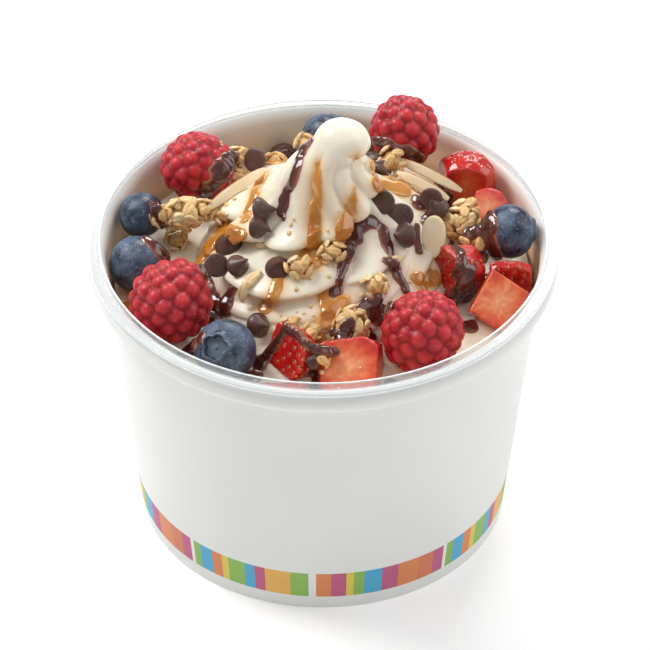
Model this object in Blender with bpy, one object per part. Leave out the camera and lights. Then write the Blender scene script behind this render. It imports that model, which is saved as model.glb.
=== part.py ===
# Frozen yogurt cup: a paper tub with a clear rim ring, filled with a swirl of
# frozen yogurt that carries berries, strawberry pieces and granola clusters.
# Metres, +Z up. The origin is at the middle of the tub's foot.

import math

import bmesh
import bpy
from mathutils import Euler, Vector, noise

MM = 0.001

# Tub: a slightly conical paper wall, a rolled rim and a recessed base disc.
FOOT_RADIUS = 46.1 * MM
WALL_SLOPE = 0.12
WALL_THICKNESS = 0.8 * MM
ROLL_HALF_WIDTH = 2.4 * MM
ROLL_HALF_HEIGHT = 2.9 * MM
ROLL_CENTRE_RADIUS = 56.6 * MM
ROLL_CENTRE_HEIGHT = 76.9 * MM
NECK_HEIGHT = 73.5 * MM
HEM_THICKNESS = 1.6 * MM
HEM_HEIGHT = 5.4 * MM
BASE_LOW = 5.0 * MM
BASE_THICKNESS = 0.9 * MM
TURNED_STEPS = 60
ROLL_STEPS = 9
WELD = 0.01 * MM

# Clear ring that lies on the roll: an upright wall and a flange.
RING_INNER_RADIUS = 55.7 * MM
RING_WALL = 0.6 * MM
RING_TOP = 82.5 * MM
RING_FOOT = 80.1 * MM
FLANGE_LOW = 80.6 * MM
FLANGE_HIGH = 81.2 * MM
FLANGE_RADIUS = 59.0 * MM
LIP_WIDTH = 0.7 * MM
LIP_LOW = 80.1 * MM

# Frozen yogurt: a pool up to the level and a fluted, leaning swirl on it.
GAP = 0.3 * MM
POCKET_GAP = 0.35 * MM
LEVEL = 69.0 * MM
SWIRL_FOOT_RADIUS = 34.0 * MM
YOGURT_STEPS = 40
LOBES = 7
TWIST = math.radians(170)
TWIST_EASE = 1.6
LOBE_DEPTH_AT_TIP = 0.05
LOBE_DEPTH_AT_FOOT = 0.11
LOBE_DEPTH_BETWEEN = 0.07
LOBE_SWAY = 0.35
LOBE_MIDDLE = 0.6
POOL_WAVE = 0.9 * MM
POOL_WAVES = 3
POOL_TURN = 7.0
POOL_SHARES = (0.30, 0.72)

# Height, radius and middle of the swirl at a few levels, foot to tip.
SWIRL_LEVELS = (
    (70.0, 33.5, 0.5, 5.0),
    (78.5, 29.8, 0.5, 5.2),
    (86.0, 20.4, 0.7, 5.8),
    (93.5, 12.4, 0.2, 6.0),
    (100.0, 9.0, 0.8, 6.0),
    (105.0, 7.4, 3.0, 6.0),
    (110.0, 6.2, 4.7, 6.0),
    (113.7, 2.7, 4.4, 6.0),
)
SWIRL_TIP = (4.2, 6.0, 114.6)
RINGS_PER_LEVEL = 3

# Name, middle, half sizes and tilt in degrees of each raspberry.
RASPBERRIES = (
    ("raspberry_1", (-31.6, 30.4, 81.2), (9.8, 9.2, 9.0), (35, 15, 20)),
    ("raspberry_2", (20.6, 38.6, 86.0), (9.4, 9.0, 9.6), (-25, -12, 70)),
    ("raspberry_3", (-37.6, -21.0, 79.6), (10.6, 10.4, 11.3), (52, -8, 130)),
    ("raspberry_4", (24.4, -32.2, 79.0), (11.0, 11.0, 10.4), (48, 10, 250)),
)

# Name, middle, radius and direction of the crown of each blueberry.
BLUEBERRIES = (
    ("blueberry_1", (-45.6, 15.4, 77.4), 5.9, (-0.5, 0.6, 0.2)),
    ("blueberry_2", (-46.6, -2.2, 76.0), 7.0, (-0.2, 0.8, -0.7)),
    ("blueberry_3", (-24.2, -35.2, 75.4), 7.8, (-0.48, -0.72, 0.5)),
    ("blueberry_4", (46.9, 6.2, 79.7), 6.8, (0.93, 0.28, -0.1)),
    ("blueberry_5", (0.9, 44.6, 79.0), 6.5, (0.4, 0.7, 0.2)),
)
DRUPELET_VALLEY = 0.92
SAME_WAY = 0.999
BERRY_TAPER = 0.10
BERRY_SQUASH = 0.92
CROWN_DEPTH = 1.1 * MM
CROWN_LIP = 0.25 * MM
CROWN_FROM = 0.92

# Name, middle, half sizes and flat cuts of each strawberry piece. A cut is
# a direction and its distance from the middle; what it leaves is skin.
STRAWBERRIES = (
    ("strawberry_1", (36.4, 29.8, 75.4), (9.4, 9.0, 9.0),
     (((-0.1, -1.0, 0.10), 4.6), ((0.78, 0.62, 0.1), 5.8), ((-1.0, -0.2, 0.1), 6.3),
      ((0.9, -0.5, 0), 6.4), ((0, 1, 0), 5.0), ((0, 0, -1), 3.0))),
    ("strawberry_2", (41.6, 20.0, 75.6), (5.8, 5.4, 5.4),
     (((-0.1, -0.6, 0.8), 2.6), ((-1, 0.2, 0.1), 3.8), ((0.4, -0.9, 0), 3.2),
      ((0.9, 0.5, 0), 3.9), ((0, 1, 0), 3.4), ((0, 0, -1), 3.8))),
    ("strawberry_3", (32.0, -5.4, 75.6), (8.6, 8.6, 9.4),
     (((-0.80, -0.56, 0.20), 3.2), ((-0.2, 0.97, 0.2), 3.6), ((0.1, 0.2, 1), 7.6),
      ((0, 0, -1), 5.0), ((0.6, -0.7, -0.3), 6.2))),
    ("strawberry_4", (46.0, -4.0, 71.6), (8.4, 7.0, 7.2),
     (((-1, 0.05, 0.05), 4.6), ((0.1, -1, 0.1), 3.0), ((1, 0, 0), 6.2),
      ((0, 0.9, 0.45), 3.0), ((0, 0, -1), 1.6))),
    ("strawberry_5", (43.6, -16.4, 75.2), (9.8, 9.8, 9.8),
     (((0.17, -0.67, 0.73), 2.2), ((0.86, -0.26, -0.44), 5.6), ((-0.86, 0.26, 0.44), 5.4),
      ((0.545, 0.60, 0.585), 6.2), ((-0.545, -0.60, -0.585), 6.0), ((-0.17, 0.67, -0.73), 4.4))),
    ("strawberry_6", (-8.8, -33.6, 75.0), (7.2, 8.4, 9.2),
     (((-0.74, -0.58, 0.34), 1.8), ((0.45, 0.72, 0.52), 4.2), ((-0.5, 0.86, 0), 4.4),
      ((0, 0, -1), 5.2))),
    ("strawberry_7", (-9.8, -41.9, 68.2), (7.4, 4.2, 4.4),
     (((0, 0.6, 0.8), 1.8), ((0, 0, -1), 2.4), ((-1, 0, 0), 6.4), ((1, 0, 0), 6.2))),
    ("strawberry_8", (7.0, -38.6, 72.0), (11.2, 9.0, 9.0),
     (((-0.24, -0.62, 0.75), 3.6), ((-1, -0.1, 0), 8.0), ((0.95, -0.2, 0.1), 7.3),
      ((0.05, 1, 0.1), 4.2), ((0, 0, -1), 4.4))),
)
CUT_EDGE = 0.5 * MM

# Name, middle, half sizes and turn in degrees of each granola cluster.
GRANOLA = (
    ("granola_cluster_1", (-34.9, 11.6, 80.8), (6.8, 4.8, 4.2), (0, -6, 22)),
    ("granola_cluster_2", (7.1, -28.0, 77.2), (4.9, 4.0, 6.0), (8, 0, 20)),
    ("granola_cluster_3", (34.6, 10.4, 79.0), (4.7, 5.2, 4.6), (0, 14, 30)),
)
LUMP_DEPTH = 0.24
LUMP_SIZE = 2.4 * MM
LUMP_MIDDLE = 0.92
SEED_SHIFT = (13.7, 5.1, 9.3)

PAPER_WHITE = (0.86, 0.86, 0.84)
CLEAR = (0.93, 0.95, 0.96)
CREAM_WHITE = (0.90, 0.85, 0.70)
RASPBERRY_RED = (0.52, 0.012, 0.035)
BLUEBERRY_BLUE = (0.045, 0.085, 0.20)
STRAWBERRY_RED = (0.68, 0.045, 0.022)
GRANOLA_TAN = (0.58, 0.36, 0.13)


def finish(name, colour, roughness, transmission=0.0):
    """A Principled material with one colour and roughness."""
    material = bpy.data.materials.new(name)
    material.use_nodes = True
    shader = material.node_tree.nodes["Principled BSDF"]
    shader.inputs["Base Color"].default_value = (*colour, 1.0)
    shader.inputs["Roughness"].default_value = roughness
    shader.inputs["Metallic"].default_value = 0.0
    shader.inputs["Transmission Weight"].default_value = transmission
    return material


def add_object(name, bm, material, smooth_below=40.0):
    """Turn a bmesh into a named object of the scene."""
    bmesh.ops.recalc_face_normals(bm, faces=bm.faces[:])
    mesh = bpy.data.meshes.new(name)
    bm.to_mesh(mesh)
    bm.free()
    mesh.shade_smooth()
    mesh.set_sharp_from_angle(angle=math.radians(smooth_below))
    mesh.materials.append(material)
    obj = bpy.data.objects.new(name, mesh)
    bpy.context.scene.collection.objects.link(obj)
    return obj


def in_metres(values):
    return Vector([value * MM for value in values])


def turned(name, outline, material):
    """Spin a closed outline of (radius, height) points round the Z axis."""
    bm = bmesh.new()
    corners = [bm.verts.new((radius, 0.0, height)) for radius, height in outline]
    edges = [bm.edges.new((corners[i - 1], corners[i])) for i in range(len(corners))]
    bmesh.ops.spin(bm, geom=corners + edges, cent=(0, 0, 0), axis=(0, 0, 1),
                   angle=math.tau, steps=TURNED_STEPS, use_merge=True)
    bmesh.ops.remove_doubles(bm, verts=bm.verts[:], dist=WELD)
    return add_object(name, bm, material)


def wall_radius(height):
    """Outer radius of the paper wall at a height."""
    return FOOT_RADIUS + WALL_SLOPE * height


def roll_points():
    """Rolled rim: from under the roll, round its outside, to the inner wall."""
    start = -math.radians(131)
    end = math.pi
    points = []
    for i in range(ROLL_STEPS + 1):
        angle = start + (end - start) * i / ROLL_STEPS
        points.append((ROLL_CENTRE_RADIUS + ROLL_HALF_WIDTH * math.cos(angle),
                       ROLL_CENTRE_HEIGHT + ROLL_HALF_HEIGHT * math.sin(angle)))
    return points


def make_tub(material):
    """Paper wall with its rolled rim and folded hem, and the base disc."""
    hem_inner = wall_radius(0.0) - HEM_THICKNESS
    ledge = hem_inner + WALL_SLOPE * HEM_HEIGHT
    outline = [(wall_radius(0.0), 0.0)]
    outline += roll_points()
    for height in (NECK_HEIGHT, HEM_HEIGHT):
        outline.append((wall_radius(height) - WALL_THICKNESS, height))
    outline += [(ledge, HEM_HEIGHT - GAP), (hem_inner, 0.0)]
    turned("tub_wall", outline, material)

    rim = hem_inner + WALL_SLOPE * BASE_LOW - GAP
    bm = bmesh.new()
    bmesh.ops.create_cone(bm, segments=TURNED_STEPS, cap_ends=True, radius1=rim, radius2=rim,
                          depth=BASE_THICKNESS)
    bmesh.ops.translate(bm, verts=bm.verts[:], vec=(0, 0, BASE_LOW + BASE_THICKNESS / 2))
    add_object("tub_base", bm, material)


def make_ring(material):
    """Clear ring: an upright wall and a flange over the roll, with a small lip."""
    wall_outer = RING_INNER_RADIUS + RING_WALL
    lip_inner = FLANGE_RADIUS - LIP_WIDTH
    outline = [
        (RING_INNER_RADIUS, RING_FOOT),
        (wall_outer, RING_FOOT),
        (wall_outer, FLANGE_LOW),
        (lip_inner, FLANGE_LOW),
        (lip_inner, LIP_LOW),
        (FLANGE_RADIUS, LIP_LOW),
        (FLANGE_RADIUS, FLANGE_HIGH),
        (wall_outer, FLANGE_HIGH),
        (wall_outer, RING_TOP),
        (RING_INNER_RADIUS, RING_TOP),
    ]
    return turned("clear_ring", outline, material)


def swirl_ring(height, radius, x, y):
    """One fluted section of the swirl: round lobes with sharp valleys between.

    The columns of points turn with the lobes as the swirl climbs.
    """
    top = SWIRL_TIP[2]
    below = (top - height) / (top - SWIRL_LEVELS[0][0])
    twist = TWIST * (1.0 - below ** TWIST_EASE)
    depth = LOBE_DEPTH_AT_TIP + (LOBE_DEPTH_AT_FOOT - LOBE_DEPTH_AT_TIP) * below
    depth += LOBE_DEPTH_BETWEEN * math.sin(math.pi * below)
    points = []
    for i in range(YOGURT_STEPS):
        angle = math.tau * i / YOGURT_STEPS
        lobe = abs(math.cos(LOBES * angle / 2 + LOBE_SWAY * math.sin(angle)))
        reach = radius * (1.0 + depth * (lobe - LOBE_MIDDLE))
        turned_angle = angle + twist
        across = reach * math.cos(turned_angle)
        along = reach * math.sin(turned_angle)
        points.append(in_metres((x + across, y + along, height)))
    return points


def smooth_levels():
    """Catmull-Rom steps between the swirl's levels."""
    levels = [Vector(level) for level in SWIRL_LEVELS]
    padded = [levels[0] * 2 - levels[1]] + levels + [levels[-1] * 2 - levels[-2]]
    steps = []
    for before, start, end, after in zip(padded, padded[1:], padded[2:], padded[3:]):
        for i in range(RINGS_PER_LEVEL):
            t = i / RINGS_PER_LEVEL
            steps.append(0.5 * (2 * start + (end - before) * t
                                + (2 * before - 5 * start + 4 * end - after) * t ** 2
                                + (3 * start - before - 3 * end + after) * t ** 3))
    return steps + [levels[-1]]


def yogurt_rings():
    """Closed rings of points, from the bottom of the tub up to the swirl."""
    angles = [math.tau * i / YOGURT_STEPS for i in range(YOGURT_STEPS)]
    inside = WALL_THICKNESS + GAP
    floor = HEM_HEIGHT + BASE_THICKNESS + GAP
    rings = []
    for height in (floor, LEVEL):
        radius = wall_radius(height) - inside
        rings.append([Vector((radius * math.cos(a), radius * math.sin(a), height)) for a in angles])
    outer = wall_radius(LEVEL) - inside
    for share in POOL_SHARES:
        radius = outer + (SWIRL_FOOT_RADIUS - outer) * share
        wave = POOL_WAVE * math.sin(math.pi * share)
        ring = []
        for a in angles:
            height = LEVEL + wave * math.sin(POOL_WAVES * a + POOL_TURN * share)
            ring.append(Vector((radius * math.cos(a), radius * math.sin(a), height)))
        rings.append(ring)
    rings += [swirl_ring(*level) for level in smooth_levels()]
    return rings


def make_yogurt(material):
    """Join the rings into one closed body, with a flat bottom and a tip.

    Each step is split along the diagonal that leans with the twist.
    """
    bm = bmesh.new()
    rows = [[bm.verts.new(point) for point in ring] for ring in yogurt_rings()]
    for low, high in zip(rows, rows[1:]):
        for i in range(YOGURT_STEPS):
            j = (i + 1) % YOGURT_STEPS
            bm.faces.new((low[i], low[j], high[i]))
            bm.faces.new((low[j], high[j], high[i]))
    bm.faces.new(rows[0][::-1])
    tip = bm.verts.new(in_metres(SWIRL_TIP))
    for i in range(YOGURT_STEPS):
        bm.faces.new((rows[-1][i], rows[-1][(i + 1) % YOGURT_STEPS], tip))
    return add_object("frozen_yogurt", bm, material)


def place(bm, middle, turn):
    """Turn a shape in degrees about its middle, then set it in place."""
    rotation = Euler([math.radians(value) for value in turn]).to_matrix()
    bmesh.ops.rotate(bm, verts=bm.verts[:], cent=(0, 0, 0), matrix=rotation)
    bmesh.ops.translate(bm, verts=bm.verts[:], vec=in_metres(middle))


def make_raspberry(name, middle, half, turn, material):
    """Ovoid with a raised bump for each group of drupelets."""
    coarse = bmesh.new()
    bmesh.ops.create_icosphere(coarse, subdivisions=2, radius=1.0)
    bumps = [vert.co.normalized() for vert in coarse.verts]
    coarse.free()
    bm = bmesh.new()
    bmesh.ops.create_icosphere(bm, subdivisions=3, radius=1.0)
    for vert in bm.verts:
        out = vert.co.normalized()
        raised = any(out.dot(bump) > SAME_WAY for bump in bumps)
        taper = 1.0 - BERRY_TAPER * max(0.0, out.z)
        size = 1.0 if raised else DRUPELET_VALLEY
        vert.co = in_metres((out.x * half[0] * taper, out.y * half[1] * taper, out.z * half[2])) * size
    place(bm, middle, turn)
    return add_object(name, bm, material)


def make_blueberry(name, middle, radius, crown, material):
    """Slightly flattened ball with a sunken crown at its top."""
    bm = bmesh.new()
    bmesh.ops.create_uvsphere(bm, u_segments=14, v_segments=9, radius=radius * MM)
    for vert in bm.verts:
        near_top = vert.co.z > radius * MM * CROWN_FROM
        vert.co.z *= BERRY_SQUASH
        if near_top and vert.co.xy.length > WELD:
            vert.co.z += CROWN_LIP
        elif near_top:
            vert.co.z -= CROWN_DEPTH
    rotation = Vector((0, 0, 1)).rotation_difference(Vector(crown)).to_matrix()
    bmesh.ops.rotate(bm, verts=bm.verts[:], cent=(0, 0, 0), matrix=rotation)
    bmesh.ops.translate(bm, verts=bm.verts[:], vec=in_metres(middle))
    return add_object(name, bm, material)


def make_strawberry(name, middle, half, cuts, material):
    """Rounded piece of fruit with flat knife cuts and softened edges."""
    bm = bmesh.new()
    bmesh.ops.create_uvsphere(bm, u_segments=12, v_segments=8, radius=1.0)
    bmesh.ops.scale(bm, verts=bm.verts[:], vec=in_metres(half))
    for direction, distance in cuts:
        normal = Vector(direction).normalized()
        cut = bmesh.ops.bisect_plane(bm, geom=bm.verts[:] + bm.edges[:] + bm.faces[:],
                                     plane_co=normal * distance * MM, plane_no=normal,
                                     clear_outer=True)
        border = [item for item in cut["geom_cut"] if isinstance(item, bmesh.types.BMEdge)]
        bmesh.ops.edgenet_fill(bm, edges=border)
    bmesh.ops.dissolve_degenerate(bm, dist=CUT_EDGE, edges=bm.edges[:])
    bmesh.ops.translate(bm, verts=bm.verts[:], vec=in_metres(middle))
    return add_object(name, bm, material, smooth_below=30.0)


def make_granola(name, middle, half, turn, seed, material):
    """Lumpy cluster of oat flakes."""
    shift = Vector(SEED_SHIFT) * seed
    bm = bmesh.new()
    bmesh.ops.create_icosphere(bm, subdivisions=3, radius=1.0)
    for vert in bm.verts:
        out = vert.co.normalized()
        shape = in_metres((out.x * half[0], out.y * half[1], out.z * half[2]))
        lump = noise.noise(shape / LUMP_SIZE + shift)
        vert.co = shape * (LUMP_MIDDLE + LUMP_DEPTH * lump)
    place(bm, middle, turn)
    return add_object(name, bm, material, smooth_below=20.0)


def sink_into(body, piece):
    """Cut the body round a piece that is embedded in it, with a small gap."""
    bm = bmesh.new()
    bm.from_mesh(piece.data)
    bmesh.ops.recalc_face_normals(bm, faces=bm.faces[:])
    bm.normal_update()
    moves = [vert.normal * vert.calc_shell_factor() * POCKET_GAP for vert in bm.verts]
    for vert, move in zip(bm.verts, moves):
        vert.co += move
    mesh = bpy.data.meshes.new("pocket_" + piece.name)
    bm.to_mesh(mesh)
    bm.free()
    cutter = bpy.data.objects.new("pocket_" + piece.name, mesh)
    cutter.hide_render = True
    cutter.display_type = "WIRE"
    bpy.context.scene.collection.objects.link(cutter)
    modifier = body.modifiers.new(cutter.name, "BOOLEAN")
    modifier.operation = "DIFFERENCE"
    modifier.solver = "EXACT"
    modifier.object = cutter


def build():
    for obj in list(bpy.data.objects):
        bpy.data.objects.remove(obj, do_unlink=True)

    make_tub(finish("paper", PAPER_WHITE, 0.45))
    make_ring(finish("clear_plastic", CLEAR, 0.08, transmission=0.9))
    yogurt = make_yogurt(finish("yogurt", CREAM_WHITE, 0.38))

    raspberry = finish("raspberry_flesh", RASPBERRY_RED, 0.35)
    blueberry = finish("blueberry_skin", BLUEBERRY_BLUE, 0.5)
    strawberry = finish("strawberry_flesh", STRAWBERRY_RED, 0.3)
    granola = finish("granola_oats", GRANOLA_TAN, 0.65)

    pieces = []
    for name, middle, half, turn in RASPBERRIES:
        pieces.append(make_raspberry(name, middle, half, turn, raspberry))
    for name, middle, radius, crown in BLUEBERRIES:
        pieces.append(make_blueberry(name, middle, radius, crown, blueberry))
    for name, middle, half, cuts in STRAWBERRIES:
        pieces.append(make_strawberry(name, middle, half, cuts, strawberry))
    for seed, (name, middle, half, turn) in enumerate(GRANOLA, start=1):
        pieces.append(make_granola(name, middle, half, turn, seed, granola))
    for piece in pieces:
        sink_into(yogurt, piece)


build()
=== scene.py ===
import math
import random
import bpy
import numpy as np
from mathutils import Euler, Matrix, Vector, noise
from mathutils.bvhtree import BVHTree


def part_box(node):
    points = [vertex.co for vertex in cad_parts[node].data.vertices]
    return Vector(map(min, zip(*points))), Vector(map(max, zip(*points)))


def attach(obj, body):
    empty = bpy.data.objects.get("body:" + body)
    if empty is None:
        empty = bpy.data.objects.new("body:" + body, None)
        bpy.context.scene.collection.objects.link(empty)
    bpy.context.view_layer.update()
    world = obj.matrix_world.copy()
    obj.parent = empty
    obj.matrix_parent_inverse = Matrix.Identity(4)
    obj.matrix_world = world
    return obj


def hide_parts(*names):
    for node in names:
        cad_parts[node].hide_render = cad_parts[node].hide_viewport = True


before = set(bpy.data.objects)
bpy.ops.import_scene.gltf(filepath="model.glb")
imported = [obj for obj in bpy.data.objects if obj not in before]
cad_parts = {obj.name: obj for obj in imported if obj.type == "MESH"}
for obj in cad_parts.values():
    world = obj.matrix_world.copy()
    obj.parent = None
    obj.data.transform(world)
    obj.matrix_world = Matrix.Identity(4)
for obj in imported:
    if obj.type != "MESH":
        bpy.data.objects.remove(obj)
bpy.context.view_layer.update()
print("frame loaded")

mm = 0.001
fullTurn = math.tau


# small helpers

def deselectAll():
    if bpy.context.object and bpy.context.object.mode != "OBJECT":
        bpy.ops.object.mode_set(mode="OBJECT")
    bpy.ops.object.select_all(action="DESELECT")


def makeActive(piece):
    deselectAll()
    piece.select_set(True)
    bpy.context.view_layer.objects.active = piece


def newPiece(name):
    # the primitive that was just added, under its own name
    piece = bpy.context.object
    piece.name = name
    piece.data.name = name
    return piece


def settle(piece):
    # place, turn and size go into the mesh
    makeActive(piece)
    bpy.ops.object.transform_apply(location=True, rotation=True, scale=True)


def applyModifiers(piece):
    makeActive(piece)
    for modifier in list(piece.modifiers):
        bpy.ops.object.modifier_apply(modifier=modifier.name)


def smoothBelow(piece, degrees):
    makeActive(piece)
    bpy.ops.object.shade_smooth_by_angle(angle=math.radians(degrees))


def joinAll(pieces, name):
    deselectAll()
    for piece in pieces:
        piece.select_set(True)
    bpy.context.view_layer.objects.active = pieces[0]
    if len(pieces) > 1:
        bpy.ops.object.join()
    return newPiece(name)


def pointsOf(piece):
    points = np.empty(len(piece.data.vertices) * 3, dtype=np.float64)
    piece.data.vertices.foreach_get("co", points)
    return points.reshape(-1, 3)


def movePoints(piece, points):
    piece.data.vertices.foreach_set("co", np.asarray(points, dtype=np.float32).ravel())
    piece.data.update()


def normalsOf(piece):
    normals = np.empty(len(piece.data.vertices) * 3, dtype=np.float32)
    piece.data.vertex_normals.foreach_get("vector", normals)
    return normals.reshape(-1, 3).astype(np.float64)


def storeValues(piece, name, values):
    layer = piece.data.attributes.new(name, "FLOAT", "POINT")
    layer.data.foreach_set("value", np.asarray(values, dtype=np.float32))


def storeVectors(piece, name, values):
    layer = piece.data.attributes.new(name, "FLOAT_VECTOR", "POINT")
    layer.data.foreach_set("vector", np.asarray(values, dtype=np.float32).ravel())


def remeshPiece(piece, voxel, rounds=2, factor=0.5):
    # one closed skin round everything in the piece, lightly smoothed
    remesh = piece.modifiers.new("skin", "REMESH")
    remesh.mode = "VOXEL"
    remesh.voxel_size = voxel * mm
    remesh.adaptivity = 0.0
    if rounds:
        relax = piece.modifiers.new("relax", "SMOOTH")
        relax.factor = factor
        relax.iterations = rounds
    applyModifiers(piece)


def treeOf(pieces):
    corners = []
    faces = []
    for piece in pieces:
        start = len(corners)
        corners += [tuple(vert.co) for vert in piece.data.vertices]
        faces += [tuple(start + i for i in face.vertices) for face in piece.data.polygons]
    return BVHTree.FromPolygons(corners, faces)


def softStep(low, high, value):
    share = np.clip((value - low) / (high - low), 0.0, 1.0)
    return share * share * (3.0 - 2.0 * share)


def addToModel(piece, materials, nodes=()):
    piece.data.materials.clear()
    for material in materials:
        piece.data.materials.append(material)
    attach(piece, "root")
    if nodes:
        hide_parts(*nodes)
    return piece


# material helpers

def newMaterial(name):
    material = bpy.data.materials.new(name)
    material.use_nodes = True
    nodes = material.node_tree.nodes
    return material, nodes, material.node_tree.links, nodes["Principled BSDF"]


def addNode(nodes, kind, **settings):
    node = nodes.new(kind)
    for key, value in settings.items():
        setattr(node, key, value)
    return node


def addRamp(nodes, stops, interpolation="LINEAR"):
    ramp = nodes.new("ShaderNodeValToRGB")
    ramp.color_ramp.interpolation = interpolation
    elements = ramp.color_ramp.elements
    while len(elements) > 1:
        elements.remove(elements[-1])
    elements[0].position = stops[0][0]
    elements[0].color = (*stops[0][1], 1)
    for place, colour in stops[1:]:
        elements.new(place).color = (*colour, 1)
    return ramp


def grey(value):
    return (value, value, value)


def mixColours(nodes, links, share, first, second, mode="MIX"):
    # share, first and second are sockets or plain values
    mix = addNode(nodes, "ShaderNodeMix", data_type="RGBA", blend_type=mode)
    for socket, value in ((mix.inputs[0], share), (mix.inputs[6], first), (mix.inputs[7], second)):
        if isinstance(value, bpy.types.NodeSocket):
            links.new(value, socket)
        elif isinstance(value, tuple):
            socket.default_value = (*value, 1)
        else:
            socket.default_value = value
    return mix.outputs[2]


def mathNode(nodes, links, operation, *values, clamp=False):
    node = addNode(nodes, "ShaderNodeMath", operation=operation, use_clamp=clamp)
    for socket, value in zip(node.inputs, values):
        if isinstance(value, bpy.types.NodeSocket):
            links.new(value, socket)
        else:
            socket.default_value = value
    return node.outputs[0]


def buildGrainGroup():
    # fine grain, mottling and specks, shared by every food finish
    group = bpy.data.node_groups.new("foodGrain", "ShaderNodeTree")
    face = group.interface
    for name, value in (("Grain Size", 900.0), ("Mottle Size", 140.0), ("Speck Size", 700.0), ("Speck Limit", 0.72)):
        socket = face.new_socket(name=name, in_out="INPUT", socket_type="NodeSocketFloat")
        socket.default_value = value
    for name in ("Grain", "Mottle", "Specks"):
        face.new_socket(name=name, in_out="OUTPUT", socket_type="NodeSocketFloat")
    nodes = group.nodes
    links = group.links
    entry = nodes.new("NodeGroupInput")
    leave = nodes.new("NodeGroupOutput")
    place = nodes.new("ShaderNodeTexCoord")
    grain = addNode(nodes, "ShaderNodeTexNoise")
    grain.inputs["Detail"].default_value = 4
    mottle = addNode(nodes, "ShaderNodeTexNoise")
    mottle.inputs["Detail"].default_value = 3
    speck = addNode(nodes, "ShaderNodeTexNoise")
    speck.inputs["Detail"].default_value = 1
    for texture, name in ((grain, "Grain Size"), (mottle, "Mottle Size"), (speck, "Speck Size")):
        links.new(place.outputs["Object"], texture.inputs["Vector"])
        links.new(entry.outputs[name], texture.inputs["Scale"])
    limit = mathNode(nodes, links, "SUBTRACT", speck.outputs["Fac"], entry.outputs["Speck Limit"])
    sharp = mathNode(nodes, links, "MULTIPLY", limit, 18.0, clamp=True)
    links.new(grain.outputs["Fac"], leave.inputs["Grain"])
    links.new(mottle.outputs["Fac"], leave.inputs["Mottle"])
    links.new(sharp, leave.inputs["Specks"])
    return group


grainGroup = buildGrainGroup()


def addGrain(nodes, grainSize, mottleSize, speckSize=700.0, speckLimit=0.72):
    node = nodes.new("ShaderNodeGroup")
    node.node_tree = grainGroup
    node.inputs["Grain Size"].default_value = grainSize
    node.inputs["Mottle Size"].default_value = mottleSize
    node.inputs["Speck Size"].default_value = speckSize
    node.inputs["Speck Limit"].default_value = speckLimit
    return node


def addBump(nodes, links, shader, height, strength, distance):
    bump = nodes.new("ShaderNodeBump")
    bump.inputs["Strength"].default_value = strength
    bump.inputs["Distance"].default_value = distance * mm
    links.new(height, bump.inputs["Height"])
    links.new(bump.outputs["Normal"], shader.inputs["Normal"])
    return bump


def foodFinish(name, low, high, roughness, grainSize=900.0, mottleSize=140.0, bump=0.25, depth=0.15, scatter=0.0,
               scatterColour=(1.0, 0.4, 0.2), scatterReach=1.0, coat=0.0, speckColour=None, speckSize=700.0,
               speckLimit=0.72):
    # two mottled tones with fine grain, for any simple food finish
    material, nodes, links, shader = newMaterial(name)
    grain = addGrain(nodes, grainSize, mottleSize, speckSize, speckLimit)
    ramp = addRamp(nodes, ((0.3, low), (0.7, high)))
    links.new(grain.outputs["Mottle"], ramp.inputs["Fac"])
    colour = ramp.outputs["Color"]
    if speckColour:
        colour = mixColours(nodes, links, grain.outputs["Specks"], colour, speckColour)
    links.new(colour, shader.inputs["Base Color"])
    rough = addNode(nodes, "ShaderNodeMapRange")
    rough.inputs["To Min"].default_value = roughness * 0.8
    rough.inputs["To Max"].default_value = roughness * 1.2
    links.new(grain.outputs["Grain"], rough.inputs["Value"])
    links.new(rough.outputs["Result"], shader.inputs["Roughness"])
    shader.inputs["Subsurface Weight"].default_value = scatter
    shader.inputs["Subsurface Radius"].default_value = scatterColour
    shader.inputs["Subsurface Scale"].default_value = scatterReach * mm
    shader.inputs["Coat Weight"].default_value = coat
    shader.inputs["Coat Roughness"].default_value = 0.12
    addBump(nodes, links, shader, grain.outputs["Grain"], bump, depth)
    return material, nodes, links, shader, colour


# camera, light and floor

view = {
    "elevation": 39.83,
    "distance": 2164.35,
    "aimHeight": 54.24,
    "lens": 475.8,
    "sideShift": 0.0030,
}

lighting = {
    "skyStrength": 0.40,
    "keyPower": 10.7,
    "fillPower": 4.2,
    "backPower": 7.0,
    "topPower": 1.7,
    "floorGlow": 0.24,
}


def addCamera():
    lift = math.radians(view["elevation"])
    bpy.ops.object.camera_add(
        location=(0, -view["distance"] * math.cos(lift) * mm,
                  (view["aimHeight"] + view["distance"] * math.sin(lift)) * mm),
        rotation=(math.pi / 2 - lift, 0, 0))
    camera = bpy.context.object
    camera.name = "camera"
    camera.data.lens = view["lens"]
    camera.data.sensor_width = 36
    camera.data.shift_x = view["sideShift"]
    camera.data.clip_end = 20
    camera.data.dof.use_dof = False
    bpy.context.scene.camera = camera


def addAreaLight(name, place, power, size, colour=(1, 1, 1)):
    aim = Vector((0, 0, 0.06))
    spot = Vector(place)
    turn = (aim - spot).to_track_quat("-Z", "Y").to_euler()
    bpy.ops.object.light_add(type="AREA", location=spot, rotation=turn)
    light = bpy.context.object
    light.name = name
    light.data.energy = power
    light.data.size = size
    light.data.color = colour


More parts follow.
